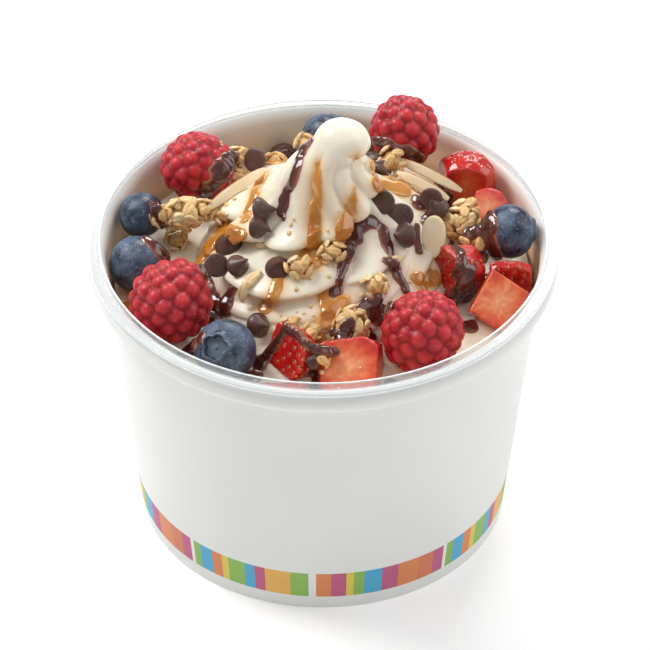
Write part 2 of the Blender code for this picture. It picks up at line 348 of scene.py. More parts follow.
def addStage():
    bpy.ops.mesh.primitive_plane_add(size=6, location=(0, 0, 0))
    floor = newPiece("floor")
    bpy.ops.object.mode_set(mode="EDIT")
    bpy.ops.mesh.subdivide(number_cuts=2)
    bpy.ops.object.mode_set(mode="OBJECT")
    material, nodes, links, shader = newMaterial("paleFloor")
    grain = addGrain(nodes, 60.0, 2.0)
    ramp = addRamp(nodes, ((0.2, grey(0.88)), (0.8, grey(0.90))))
    links.new(grain.outputs["Mottle"], ramp.inputs["Fac"])
    links.new(ramp.outputs["Color"], shader.inputs["Base Color"])
    shader.inputs["Roughness"].default_value = 0.9
    shader.inputs["Specular IOR Level"].default_value = 0.0
    links.new(ramp.outputs["Color"], shader.inputs["Emission Color"])
    shader.inputs["Emission Strength"].default_value = lighting["floorGlow"]
    floor.data.materials.append(material)

    world = bpy.data.worlds.new("studio")
    bpy.context.scene.world = world
    world.use_nodes = True
    sky = world.node_tree.nodes["Background"]
    sky.inputs["Color"].default_value = (1.0, 1.0, 1.0, 1)
    sky.inputs["Strength"].default_value = lighting["skyStrength"]
    addAreaLight("keyLight", (-0.75, 0.35, 1.0), lighting["keyPower"], 0.55)
    addAreaLight("fillLight", (1.0, 0.1, 0.7), lighting["fillPower"], 0.8)
    addAreaLight("backLight", (0.2, 0.9, 0.9), lighting["backPower"], 0.5)
    addAreaLight("topLight", (0.0, -0.35, 1.3), lighting["topPower"], 0.7)


bpy.context.scene.view_settings.view_transform = "Standard"
addCamera()
addStage()
print("camera, light and floor")


# paper tub and clear ring

def turnedPiece(name, outline, steps, closed=True):
    # walk one point round the outline, then spin it into a ring
    deselectAll()
    bpy.ops.mesh.primitive_plane_add(size=2 * mm)
    piece = newPiece(name)
    bpy.ops.object.mode_set(mode="EDIT")
    bpy.ops.mesh.merge(type="CENTER")
    bpy.ops.transform.translate(value=(outline[0][0] * mm, 0, outline[0][1] * mm))
    following = outline[1:] + (outline[:1] if closed else [])
    for (radius, height), (nextRadius, nextHeight) in zip(outline, following):
        step = ((nextRadius - radius) * mm, 0, (nextHeight - height) * mm)
        bpy.ops.mesh.extrude_region_move(TRANSFORM_OT_translate={"value": step})
    bpy.ops.mesh.select_all(action="SELECT")
    bpy.ops.mesh.spin(steps=steps, angle=fullTurn, center=(0, 0, 0), axis=(0, 0, 1))
    bpy.ops.mesh.select_all(action="SELECT")
    bpy.ops.mesh.remove_doubles(threshold=0.004 * mm)
    bpy.ops.mesh.normals_make_consistent(inside=False)
    bpy.ops.object.mode_set(mode="OBJECT")
    return piece


tub = {
    "footRadius": 46.1,
    "slope": 0.12,
    "paper": 0.8,
    "hemThickness": 1.6,
    "hemHeight": 5.4,
    "baseLow": 5.0,
    "baseThickness": 0.9,
    "neckHeight": 73.5,
    "rollRadius": 56.6,
    "rollHeight": 76.9,
    "rollHalfWidth": 2.4,
    "rollHalfHeight": 2.9,
    "rollFrom": -131,
    "rollTo": 180,
    "rollSteps": 26,
    "steps": 180,
    "lapDepth": 0.3,
    "lapFrom": 150,
    "gap": 0.3,
}


def wallRadius(height):
    return tub["footRadius"] + tub["slope"] * height


def tubOutline():
    outline = [(wallRadius(0.5) - 0.15, 0.0), (wallRadius(0.4), 0.4)]
    outline += [(wallRadius(height), height) for height in (3.0, 9.0, 24.0, 40.0, 56.0, 68.0)]
    for i in range(tub["rollSteps"] + 1):
        angle = math.radians(tub["rollFrom"] + (tub["rollTo"] - tub["rollFrom"]) * i / tub["rollSteps"])
        outline.append((tub["rollRadius"] + tub["rollHalfWidth"] * math.cos(angle),
                        tub["rollHeight"] + tub["rollHalfHeight"] * math.sin(angle)))
    outline += [(wallRadius(height) - tub["paper"], height) for height in (tub["neckHeight"], 50.0, 28.0, tub["hemHeight"])]
    hemInner = wallRadius(0) - tub["hemThickness"]
    outline += [(hemInner + tub["slope"] * tub["hemHeight"], tub["hemHeight"] - tub["gap"]),
                (hemInner + 0.05, 0.4), (hemInner + 0.2, 0.0)]
    return outline


def addSideLap(piece):
    # the glued lap of the wall, a fine step down its back
    points = pointsOf(piece)
    angle = np.degrees(np.arctan2(points[:, 0], -points[:, 1]))
    radius = np.hypot(points[:, 0], points[:, 1])
    outside = (radius > (tub["footRadius"] + tub["slope"] * points[:, 2] / mm - 0.3) * mm) & (points[:, 2] < 71 * mm)
    rise = np.clip((angle - tub["lapFrom"]) / (180 - tub["lapFrom"]), 0, 1) * tub["lapDepth"] * mm
    scale = np.where(outside & (angle < 179.5), 1 + rise / radius, 1.0)
    points[:, 0] *= scale
    points[:, 1] *= scale
    movePoints(piece, points)


def makePaper():
    # coated white paper with the printed foot band, and a painted warm reflection of the food on the inside of the wall
    material, nodes, links, shader = newMaterial("coatedPaper")
    grain = addGrain(nodes, 1600.0, 45.0)
    ramp = addRamp(nodes, ((0.25, (0.737, 0.747, 0.719)), (0.75, (0.766, 0.776, 0.748))))
    links.new(grain.outputs["Mottle"], ramp.inputs["Fac"])

    place = nodes.new("ShaderNodeTexCoord")
    parts = nodes.new("ShaderNodeSeparateXYZ")
    links.new(place.outputs["Object"], parts.inputs[0])
    back = mathNode(nodes, links, "MULTIPLY", parts.outputs["Y"], -1.0)
    angle = mathNode(nodes, links, "ARCTAN2", parts.outputs["X"], back)
    degrees = mathNode(nodes, links, "MULTIPLY", angle, 180 / math.pi)
    shifted = mathNode(nodes, links, "ADD", degrees, band["start"] + 4 * band["period"])
    around = mathNode(nodes, links, "MODULO", shifted, band["period"])
    share = mathNode(nodes, links, "DIVIDE", around, band["period"])
    stops = []
    place = 0.0
    for colour, width in band["stripes"]:
        stops.append((place / band["period"], bandColours[colour]))
        place += width
    stripes = addRamp(nodes, stops, "CONSTANT")
    links.new(share, stripes.inputs["Fac"])
    gaps = []
    place = 0.0
    for colour, width in band["stripes"]:
        if colour == "white" or not gaps or gaps[-1][1] != grey(1.0):
            gaps.append((place / band["period"], grey(0.0 if colour == "white" else 1.0)))
        place += width
    printed = addRamp(nodes, gaps, "CONSTANT")
    links.new(share, printed.inputs["Fac"])

    low = mathNode(nodes, links, "GREATER_THAN", parts.outputs["Z"], band["low"] * mm)
    high = mathNode(nodes, links, "LESS_THAN", parts.outputs["Z"], band["high"] * mm)
    level = mathNode(nodes, links, "MULTIPLY", low, high)
    inked = mathNode(nodes, links, "MULTIPLY", level, printed.outputs["Color"])
    radius = mathNode(nodes, links, "SQRT", mathNode(
        nodes, links, "ADD", mathNode(nodes, links, "POWER", parts.outputs["X"], 2.0),
        mathNode(nodes, links, "POWER", parts.outputs["Y"], 2.0)))
    outside = mathNode(nodes, links, "GREATER_THAN", radius, (tub["footRadius"] + 0.1) * mm)
    inked = mathNode(nodes, links, "MULTIPLY", inked, outside)
    # thin ink, a little uneven
    strength = addNode(nodes, "ShaderNodeMapRange")
    strength.inputs["To Min"].default_value = 0.9
    strength.inputs["To Max"].default_value = 1.0
    links.new(grain.outputs["Grain"], strength.inputs["Value"])
    inked = mathNode(nodes, links, "MULTIPLY", inked, strength.outputs["Result"])
    # painted warm reflection of the food on the inside of the wall, strongest just above the yogurt
    edge = mathNode(nodes, links, "MULTIPLY_ADD", parts.outputs["Z"], tub["slope"], (tub["footRadius"] - 0.35) * mm)
    within = mathNode(nodes, links, "LESS_THAN", radius, edge)
    near = addNode(nodes, "ShaderNodeMapRange")
    near.inputs["From Min"].default_value = 82.0 * mm
    near.inputs["From Max"].default_value = 70.0 * mm
    links.new(parts.outputs["Z"], near.inputs["Value"])
    paintedFoodReflection = mathNode(nodes, links, "MULTIPLY", within, near.outputs["Result"])
    paintedFoodReflection = mathNode(nodes, links, "MULTIPLY", paintedFoodReflection, mathNode(nodes, links, "ADD", grain.outputs["Mottle"], 0.45))
    paper = mixColours(nodes, links, paintedFoodReflection, ramp.outputs["Color"], (0.95, 0.69, 0.48))
    links.new(mixColours(nodes, links, inked, paper, stripes.outputs["Color"]), shader.inputs["Base Color"])

    shine = addNode(nodes, "ShaderNodeMapRange")
    shine.inputs["To Min"].default_value = 0.38
    shine.inputs["To Max"].default_value = 0.5
    links.new(grain.outputs["Mottle"], shine.inputs["Value"])
    links.new(shine.outputs["Result"], shader.inputs["Roughness"])
    addBump(nodes, links, shader, grain.outputs["Grain"], 0.12, 0.06)
    return material


# stripe colours, and the two blocks that repeat round the foot
bandColours = {
    "white": (0.83, 0.84, 0.81),
    "orange": (0.67, 0.185, 0.03),
    "redOrange": (0.62, 0.137, 0.035),
    "magenta": (0.48, 0.05, 0.17),
    "yellow": (0.69, 0.53, 0.027),
    "green": (0.21, 0.43, 0.04),
    "blue": (0.018, 0.35, 0.60),
    "gold": (0.74, 0.38, 0.036),
}

band = {
    "low": 4.14,
    "high": 12.6,
    "start": 43.4,
    "period": 84.5,
    "stripes": (
        ("green", 2.6), ("blue", 4.6), ("orange", 3.5), ("yellow", 2.3), ("green", 5.5), ("blue", 3.5),
        ("magenta", 3.3), ("gold", 7.8), ("green", 5.7), ("white", 2.2),
        ("orange", 4.7), ("magenta", 4.7), ("yellow", 2.3), ("green", 3.1), ("blue", 5.7), ("magenta", 5.5),
        ("orange", 6.8), ("redOrange", 5.2), ("magenta", 3.9), ("white", 1.6),
    ),
}

ring = {
    "inner": 55.7,
    "wall": 0.6,
    "top": 82.5,
    "foot": 80.1,
    "flangeLow": 80.6,
    "flangeHigh": 81.2,
    "flangeOuter": 59.0,
    "lip": 0.7,
    "steps": 160,
    "rounding": 0.14,
}


def makeClearPlastic():
    # thin clear plastic: nearly invisible in its wall, with painted reflection as whiter, more opaque top and foot
    # edges
    material, nodes, links, shader = newMaterial("clearRim")
    grain = addGrain(nodes, 250.0, 60.0)
    ramp = addRamp(nodes, ((0.2, (0.80, 0.84, 0.85)), (0.8, (0.88, 0.91, 0.92))))
    links.new(grain.outputs["Mottle"], ramp.inputs["Fac"])
    links.new(ramp.outputs["Color"], shader.inputs["Base Color"])
    rough = addNode(nodes, "ShaderNodeMapRange")
    rough.inputs["To Min"].default_value = 0.05
    rough.inputs["To Max"].default_value = 0.14
    links.new(grain.outputs["Mottle"], rough.inputs["Value"])
    links.new(rough.outputs["Result"], shader.inputs["Roughness"])
    place = nodes.new("ShaderNodeTexCoord")
    parts = nodes.new("ShaderNodeSeparateXYZ")
    links.new(place.outputs["Object"], parts.inputs[0])
    level = addNode(nodes, "ShaderNodeMapRange")
    level.inputs["From Min"].default_value = ring["foot"] * mm
    level.inputs["From Max"].default_value = ring["top"] * mm
    links.new(parts.outputs["Z"], level.inputs["Value"])
    # opacity by height: a faint film in the wall, and more opaque white at the top and foot edges as painted reflection
    filmAndRimReflection = addRamp(nodes, ((0.0, grey(0.50)), (0.10, grey(0.24)), (0.40, grey(0.30)), (0.50, grey(0.22)),
                            (0.86, grey(0.20)), (0.93, grey(0.62)), (1.0, grey(0.72))))
    links.new(level.outputs["Result"], filmAndRimReflection.inputs["Fac"])
    links.new(filmAndRimReflection.outputs["Color"], shader.inputs["Alpha"])
    shader.inputs["Coat Weight"].default_value = 0.5
    shader.inputs["Coat Roughness"].default_value = 0.04
    addBump(nodes, links, shader, grain.outputs["Mottle"], 0.02, 0.1)
    return material


def buildTub():
    paper = makePaper()
    wall = turnedPiece("paperTub", tubOutline(), tub["steps"])
    addSideLap(wall)
    smoothBelow(wall, 50)
    addToModel(wall, [paper], ["tub_wall"])

    rim = wallRadius(tub["baseLow"]) - tub["hemThickness"] - tub["gap"]
    top = tub["baseLow"] + tub["baseThickness"]
    outline = [(0.0, tub["baseLow"]), (rim - 0.2, tub["baseLow"]), (rim, tub["baseLow"] + 0.2),
               (rim, top - 0.2), (rim - 0.2, top), (0.0, top)]
    base = turnedPiece("paperBase", outline, tub["steps"], closed=False)
    smoothBelow(base, 40)
    addToModel(base, [paper], ["tub_base"])


def buildRing():
    outer = ring["inner"] + ring["wall"]
    lipInner = ring["flangeOuter"] - ring["lip"]
    outline = [(ring["inner"], ring["foot"]), (outer, ring["foot"]), (outer, ring["flangeLow"]),
               (lipInner, ring["flangeLow"]), (lipInner, ring["foot"]), (ring["flangeOuter"], ring["foot"]),
               (ring["flangeOuter"], ring["flangeHigh"]), (outer, ring["flangeHigh"]),
               (outer, ring["top"]), (ring["inner"], ring["top"])]
    piece = turnedPiece("clearRim", outline, ring["steps"])
    rounding = piece.modifiers.new("rounding", "BEVEL")
    rounding.width = ring["rounding"] * mm
    rounding.segments = 2
    rounding.limit_method = "ANGLE"
    rounding.angle_limit = math.radians(40)
    applyModifiers(piece)
    smoothBelow(piece, 60)
    addToModel(piece, [makeClearPlastic()], ["clear_ring"])


buildTub()
buildRing()
print("tub and ring")


# frozen yogurt: one thick rope wound into a cone, with its flutes, lifted off at the tip

yogurt = {
    "floor": 6.6,
    "level": 69.0,
    "footRadius": 34.0,
    "columns": 320,
    "poolRows": 18,
    "swirlRows": 170,
    "tipRows": 8,
    "gap": 0.3,
    "poolWave": 0.9,
    "ripple": 0.28,
    # height, radius and middle of the cone, foot to tip
    "levels": (
        (70.0, 33.5, 0.5, 5.0), (73.0, 32.8, 0.5, 5.1), (76.0, 31.5, 0.5, 5.2), (78.5, 29.8, 0.5, 5.2),
        (81.0, 27.0, 0.6, 5.4), (84.0, 22.8, 0.8, 5.6), (87.0, 18.6, 1.2, 5.8), (90.0, 15.2, 1.4, 6.0),
        (93.0, 13.2, 1.4, 6.0), (96.0, 11.8, 1.3, 6.0), (99.0, 10.4, 1.3, 6.0), (102.0, 9.0, 1.7, 6.0),
        (104.5, 7.9, 2.8, 6.0), (106.5, 7.5, 3.8, 6.0), (108.5, 7.2, 4.5, 6.0), (110.5, 6.4, 4.7, 6.0),
        (112.3, 5.0, 4.6, 6.0), (113.7, 2.9, 4.4, 6.0),
    ),
    "tip": (4.2, 6.0, 114.4),
    # valleys between the flutes, in degrees from the front, towards the right
    "upperValleys": (-128, -92, -57, -10, 27, 62, 100, 140, 184),
    "lowerValleys": (-52, 30, 58, 82, 112, 146, 184, 222, 266),
    "upperLean": 30,
    "lowerTwist": 120,
    "twistEase": 2.08,
    "twistSpan": 20.0,
    "foldHeight": 87.8,
    "foldClimb": 0.077,
    "foldDepth": 5.6,
    "lowHeight": 79.9,
    "lowClimb": 0.055,
    "lowDepth": 2.9,
    "backBlend": 32,
}


def fluteShape(angle, valleys):
    # 0 in a valley, 1 on a round crest; angle in degrees
    edges = np.array(list(valleys) + [valleys[0] + 360], dtype=float)
    around = (angle - edges[0]) % 360 + edges[0]
    k = np.clip(np.searchsorted(edges, around, side="right") - 1, 0, len(edges) - 2)
    share = (around - edges[k]) / (edges[k + 1] - edges[k])
    return np.sin(math.pi * share) ** 0.72, edges[k + 1] - edges[k]


def foldOffset(rise, bulge):
    # the crease where a winding lies on the one below: an inward nip, with a shelf under it and a crest above
    below = -np.exp(-np.abs(rise / 3.7) ** 1.5)
    above = -np.exp(-(rise / 1.25) ** 2) + bulge * np.exp(-((rise - 3.2) / 1.9) ** 2)
    return np.where(rise < 0, below, above)


def windingRadius(height, radius, theta):
    fold = yogurt["foldHeight"] + yogurt["foldClimb"] * theta
    strength = yogurt["foldDepth"] * (0.62 + 0.38 * softStep(50, 5, theta)) * softStep(72.0, 80.0, fold)
    offset = strength * foldOffset(height - fold, 0.2)
    second = theta + 360
    behind = yogurt["foldHeight"] + yogurt["foldClimb"] * second
    offset += yogurt["foldDepth"] * 0.6 * softStep(260, 185, second) * foldOffset(height - behind, 0.2)
    # a second winding shows lower down, from the left round to the front
    wave = 0.5 * np.sin(np.radians(theta * 4.0) + 0.6)
    lower = yogurt["lowHeight"] + yogurt["lowClimb"] * theta + wave
    share = softStep(-150, -95, theta) * softStep(78, 35, theta)
    offset += yogurt["lowDepth"] * share * foldOffset((height - lower) * 1.15, 0.42)
    # and a third on the right, climbing to the back
    third = yogurt["lowHeight"] - 4.0 + yogurt["lowClimb"] * 0.6 * theta
    offset += yogurt["lowDepth"] * 0.55 * softStep(20, 70, theta) * foldOffset(height - third, 0.3)

    # steep flutes above the fold, long curved ones below it
    lean = yogurt["upperLean"] * softStep(92.0, 108.0, height)
    upper, width = fluteShape(theta + lean, yogurt["upperValleys"])
    upperDepth = 0.205 * softStep(112.0, 98.0, height)
    drop = np.clip((90.5 - height) / yogurt["twistSpan"], 0, 1.1)
    twist = yogurt["lowerTwist"] * drop ** yogurt["twistEase"]
    lower, width2 = fluteShape(theta + twist, yogurt["lowerValleys"])
    lowerDepth = 0.22 - 0.17 * softStep(87.0, 77.0, height)
    lowerDepth = lowerDepth * np.clip(width2 / 42.0, 0.6, 1.2)
    share = softStep(-0.8, 0.8, height - fold)
    flutes = share * upperDepth * (upper - 0.62) + (1 - share) * lowerDepth * (lower - 0.62)

    # the curled nose overhangs its right side, and its curl leaves a crease
    notch = np.exp(-((height - 105.2) / 1.15) ** 2) * np.exp(-((theta - 72) / 50.0) ** 2)
    curlLine = 105.2 + 0.06 * (72 - theta)
    curl = np.exp(-((height - curlLine) / 0.75) ** 2) * softStep(-5, 30, theta) * softStep(120, 90, theta)
    return np.maximum(radius * (1 + flutes) + offset - 2.2 * notch - 0.9 * curl, 0.35 * radius)


def swirlRadius(height, radius, theta):
    # both ends of the winding melt into one another at the back
    span = yogurt["backBlend"]
    share = softStep(180 - span, 180 + span, np.abs(theta))
    other = windingRadius(height, radius, theta - 360 * np.sign(theta))
    return windingRadius(height, radius, theta) * (1 - share) + other * share


def smoothRows(levels, heights):
    # a smooth run through the given levels at the given heights
    levels = np.array(levels)
    table = []
    for i in range(len(levels) - 1):
        before = levels[max(i - 1, 0)]
        after = levels[min(i + 2, len(levels) - 1)]
        for t in np.linspace(0, 1, 12, endpoint=False):
            start, end = levels[i], levels[i + 1]
            table.append(0.5 * (2 * start + (end - before) * t + (2 * before - 5 * start + 4 * end - after) * t ** 2
                                + (3 * start - before - 3 * end + after) * t ** 3))
    table = np.array(table + [levels[-1]])
    return np.stack([heights] + [np.interp(heights, table[:, 0], table[:, k]) for k in (1, 2, 3)], axis=1)


def yogurtRows():
    # each row: height, radius, middle x and y, and how far it is from the wall to the swirl
    inside = tub["paper"] + yogurt["gap"]
    outer = wallRadius(yogurt["level"]) - inside
    rows = [(yogurt["floor"], 0.0, 0.0, 0.0, 0)]
    rows += [(height, wallRadius(height) - inside, 0.0, 0.0, 0) for height in (yogurt["floor"], 30.0, 50.0, yogurt["level"])]
    for i in range(1, yogurt["poolRows"]):
        share = i / yogurt["poolRows"]
        radius = outer + (yogurt["footRadius"] - outer) * share
        rows.append((yogurt["level"], radius, 0.5 * share ** 2, 5.0 * share ** 2, share))
    levels = yogurt["levels"]
    swirl = smoothRows(levels, np.linspace(levels[0][0], levels[-1][0], yogurt["swirlRows"]))
    rows += [(*row, 2.0) for row in swirl]
    height, radius, x, y = swirl[-1]
    tip = yogurt["tip"]
    for i in range(1, yogurt["tipRows"] + 1):
        near = i / yogurt["tipRows"]
        rows.append((height + (tip[2] - height) * (1 - (1 - near) ** 2), radius * (1 - near),
                     x + (tip[0] - x) * near, y + (tip[1] - y) * near, 2.0))
    return np.array(rows)


def swirlPoints(share, theta):
    # share 0 to 1 runs from the bottom of the tub to the tip
    table = yogurtRows()
    spot = np.round(share * (len(table) - 1)).astype(int)
    height, radius, x, y, kind = table[spot].T
    onSwirl = kind > 1.5
    onPool = (kind > 0) & ~onSwirl
    foot = yogurt["levels"][0][0]
    shaped = swirlRadius(np.maximum(height, foot), radius, theta)
    ease = np.where(onSwirl, 1.0, np.where(onPool, softStep(0.6, 1.0, kind), 0.0))
    reach = radius + (shaped - radius) * ease
    angle = np.radians(theta - 90)
    lift = np.where(onPool, yogurt["poolWave"] * np.sin(math.pi * kind) * np.sin(3 * angle + 7 * kind), 0.0)
    lift += np.where(onPool, softStep(0.5, 1.0, kind) * (foot - yogurt["level"]), 0.0)
    return np.stack([x + reach * np.cos(angle), y + reach * np.sin(angle), height + lift], axis=1) * mm


def buildYogurt(finish):
    # a fine grid wrapped into the swirl
    rows = len(yogurtRows())
    deselectAll()
    bpy.ops.mesh.primitive_grid_add(x_subdivisions=yogurt["columns"], y_subdivisions=rows - 1, size=2)
    piece = newPiece("yogurtSwirl")
    flat = pointsOf(piece)
    movePoints(piece, swirlPoints((flat[:, 1] + 1) / 2, flat[:, 0] * 180))
    makeActive(piece)
    bpy.ops.object.mode_set(mode="EDIT")
    bpy.ops.mesh.select_all(action="SELECT")
    bpy.ops.mesh.remove_doubles(threshold=0.002 * mm)
    bpy.ops.mesh.normals_make_consistent(inside=False)
    bpy.ops.object.mode_set(mode="OBJECT")
    # soften the creases, then a soft unevenness
    free = softStep(66.0, 69.0, pointsOf(piece)[:, 2] / mm)
    group = piece.vertex_groups.new(name="free")
    for i in np.nonzero(free > 0.5)[0]:
        group.add([int(i)], 1.0, "REPLACE")
    relax = piece.modifiers.new("relax", "SMOOTH")
    relax.factor = 0.5
    relax.iterations = 4
    relax.vertex_group = "free"
    applyModifiers(piece)
    piece.vertex_groups.clear()
    points = pointsOf(piece)
    ripples = np.array([noise.noise(Vector(point) * 110) + 0.35 * noise.noise(Vector(point) * 330) for point in points])
    movePoints(piece, points + normalsOf(piece) * (ripples * yogurt["ripple"] * mm * free)[:, None])
    smoothBelow(piece, 60)
    addToModel(piece, [finish], ["frozen_yogurt"])
    return piece


def makeYogurtFinish():
    # cream, tinted where the sauces soak in
    material, nodes, links, shader, colour = foodFinish("yogurtCream", (0.85, 0.785, 0.62), (0.90, 0.845, 0.70), 0.32,
                                                        1100.0, 90.0, 0.2, 0.12, 0.35, (1.0, 0.7, 0.4), 1.3)
    grain = addGrain(nodes, 700.0, 260.0)
    amber = addNode(nodes, "ShaderNodeAttribute", attribute_name="amber")
    cocoa = addNode(nodes, "ShaderNodeAttribute", attribute_name="cocoa")
    patch = addRamp(nodes, ((0.30, grey(0.45)), (0.65, grey(1.0))))
    links.new(grain.outputs["Mottle"], patch.inputs["Fac"])
    soaked = mathNode(nodes, links, "MULTIPLY", amber.outputs["Fac"], patch.outputs["Color"])
    colour = mixColours(nodes, links, soaked, colour, (0.76, 0.40, 0.12))
    smeared = mathNode(nodes, links, "MULTIPLY", cocoa.outputs["Fac"], patch.outputs["Color"])
    smeared = mathNode(nodes, links, "MULTIPLY", smeared, 0.55)
    links.new(mixColours(nodes, links, smeared, colour, (0.42, 0.22, 0.15)), shader.inputs["Base Color"])
    return material


yogurtFinish = makeYogurtFinish()
yogurtSwirl = buildYogurt(yogurtFinish)
print("yogurt")


# berries

def copyPiece(source, matrix):
    # a copy with its own mesh, already in place
    piece = source.copy()
    piece.data = source.data.copy()
    piece.data.transform(matrix)
    bpy.context.scene.collection.objects.link(piece)
    return piece


def turnMatrix(degrees):
    return Euler([math.radians(value) for value in degrees]).to_matrix()


raspberry = {
    # node, middle, half sizes, tilt in degrees
    "berries": (
        ("raspberry_1", (-31.6, 30.4, 81.2), (9.8, 9.2, 9.0), (35, 15, 20)),
        ("raspberry_2", (20.6, 38.6, 86.0), (9.4, 9.0, 9.6), (-25, -12, 70)),
        ("raspberry_3", (-37.6, -21.0, 79.6), (10.6, 10.4, 11.3), (52, -8, 130)),
        ("raspberry_4", (24.4, -32.2, 79.0), (11.0, 11.0, 10.4), (48, 10, 250)),
    ),
    "drupelet": 2.6,
    "drupeletStretch": 1.05,
    "spacing": 4.3,
    "core": 0.86,
    "taper": 0.10,
    "voxel": 0.33,
    "hairs": 30,
    "hairLength": 1.7,
    "hairWidth": 0.055,
}


def raspberryPlaces(half, chance):
    # rows of drupelets from the point to the hull end, each row set between the last
    places = []
    mean = sum(half) / 3
    rows = round(math.pi * mean / raspberry["spacing"])
    for row in range(rows):
        polar = math.pi * (row + 0.5) / rows
        count = max(1, round(fullTurn * math.sin(polar) * mean / raspberry["spacing"]))
        for i in range(count):
            around = fullTurn * (i + 0.5 * (row % 2) + chance.uniform(-0.12, 0.12)) / count
            tilt = polar + chance.uniform(-0.05, 0.05)
            out = Vector((math.sin(tilt) * math.cos(around), math.sin(tilt) * math.sin(around), math.cos(tilt)))
            taper = 1 - raspberry["taper"] * max(0.0, out.z)
            inner = [value - raspberry["drupelet"] * raspberry["drupeletStretch"] for value in half]
            spot = Vector((out.x * inner[0] * taper, out.y * inner[1] * taper, out.z * inner[2]))
            places.append((spot * mm, out))
    return places


def buildRaspberry(node, middle, half, tilt, chance, materials):
    places = raspberryPlaces(half, chance)
    deselectAll()
    bpy.ops.mesh.primitive_uv_sphere_add(segments=24, ring_count=16, radius=mm)
    core = newPiece("core")
    core.scale = [value * raspberry["core"] for value in half]
    settle(core)
    deselectAll()
    bpy.ops.mesh.primitive_ico_sphere_add(subdivisions=3, radius=raspberry["drupelet"] * mm)
    bead = newPiece("bead")
    beads = []
    for spot, out in places:
        size = chance.uniform(0.92, 1.08)
        turn = Vector((0, 0, 1)).rotation_difference(out).to_matrix().to_4x4()
        grow = Matrix.Diagonal((size, size, size * raspberry["drupeletStretch"], 1))
        beads.append(copyPiece(bead, Matrix.Translation(spot) @ turn @ grow))
    bpy.data.objects.remove(bead)
    piece = joinAll([core] + beads, node + "Fruit")
    remeshPiece(piece, raspberry["voxel"], 2, 0.4)

    # how far each point lies from the creases between drupelets
    points = pointsOf(piece)
    centres = np.array([tuple(spot) for spot, out in places])
    gaps = np.linalg.norm(points[:, None, :] - centres[None, :, :], axis=2)
    gaps.sort(axis=1)
    storeValues(piece, "crown", np.clip((gaps[:, 1] - gaps[:, 0]) / (1.9 * mm), 0, 1))

    # fine hairs left between the drupelets
    hairs = []
    for spot, out in chance.sample(places, min(raspberry["hairs"], len(places))):
        deselectAll()
        lean = (out + Vector([chance.uniform(-0.7, 0.7) for axis in range(3)])).normalized()
        start = spot + out * raspberry["drupelet"] * 0.95 * mm
        length = raspberry["hairLength"] * chance.uniform(0.6, 1.2) * mm
        bpy.ops.mesh.primitive_cone_add(vertices=4, radius1=raspberry["hairWidth"] * mm, radius2=raspberry["hairWidth"] * 0.3 * mm,
                                        depth=length, location=start + lean * length * 0.4,
                                        rotation=lean.to_track_quat("Z", "Y").to_euler())
        hair = newPiece("hair")
        hair.data.materials.append(materials[0])
        hair.data.materials.append(materials[1])
        for face in hair.data.polygons:
            face.material_index = 1
        settle(hair)
        hairs.append(hair)
    piece.data.materials.append(materials[0])
    piece.data.materials.append(materials[1])
    piece = joinAll([piece] + hairs, node + "Fruit")
    piece.data.transform(Matrix.Translation(Vector(middle) * mm) @ turnMatrix(tilt).to_4x4())
    smoothBelow(piece, 80)
    return keepModel(piece, [node])


def keepModel(piece, nodes=()):
    # as addToModel, for a piece whose materials are already on it
    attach(piece, "root")
    if nodes:
        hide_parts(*nodes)
    return piece


def makeRaspberryFinish():
    material, nodes, links, shader = newMaterial("raspberryFlesh")
    grain = addGrain(nodes, 1400.0, 160.0, 900.0, 0.66)
    crown = addNode(nodes, "ShaderNodeAttribute", attribute_name="crown")
    # darker red down in the creases between drupelets and brighter on their tops: painted shade and light
    ramp = addRamp(nodes, ((0.0, (0.20, 0.0, 0.006)), (0.35, (0.46, 0.010, 0.020)), (0.75, (0.60, 0.020, 0.032)),
                           (1.0, (0.68, 0.038, 0.050))))
    links.new(crown.outputs["Fac"], ramp.inputs["Fac"])
    tone = addRamp(nodes, ((0.3, (0.30, 0.002, 0.010)), (0.7, (0.56, 0.014, 0.020))))
    links.new(grain.outputs["Mottle"], tone.inputs["Fac"])
    colour = mixColours(nodes, links, 0.35, ramp.outputs["Color"], tone.outputs["Color"])
    # painted highlight: a pale pink sheen on the drupelet tops
    bloomAndSheen = mathNode(nodes, links, "MULTIPLY", grain.outputs["Grain"], crown.outputs["Fac"])
    bloomAndSheen = mathNode(nodes, links, "MULTIPLY", bloomAndSheen, 0.10)
    links.new(mixColours(nodes, links, bloomAndSheen, colour, (0.85, 0.30, 0.33)), shader.inputs["Base Color"])
    shader.inputs["Subsurface Weight"].default_value = 0.5
    shader.inputs["Subsurface Radius"].default_value = (1.0, 0.10, 0.08)
    shader.inputs["Subsurface Scale"].default_value = 2.2 * mm
    rough = addNode(nodes, "ShaderNodeMapRange")
    rough.inputs["To Min"].default_value = 0.34
    rough.inputs["To Max"].default_value = 0.52
    links.new(grain.outputs["Mottle"], rough.inputs["Value"])
    links.new(rough.outputs["Result"], shader.inputs["Roughness"])
    shader.inputs["Coat Weight"].default_value = 0.12
    shader.inputs["Coat Roughness"].default_value = 0.25
    shader.inputs["Specular IOR Level"].default_value = 0.35
    addBump(nodes, links, shader, grain.outputs["Grain"], 0.3, 0.12)
    return material


raspberryFinish = makeRaspberryFinish()
hairFinish = foodFinish("raspberryHair", (0.55, 0.18, 0.10), (0.75, 0.42, 0.25), 0.5)[0]
fruit = []
for index, (node, middle, half, tilt) in enumerate(raspberry["berries"]):
    fruit.append(buildRaspberry(node, middle, half, tilt, random.Random(11 + index), [raspberryFinish, hairFinish]))
print("raspberries")


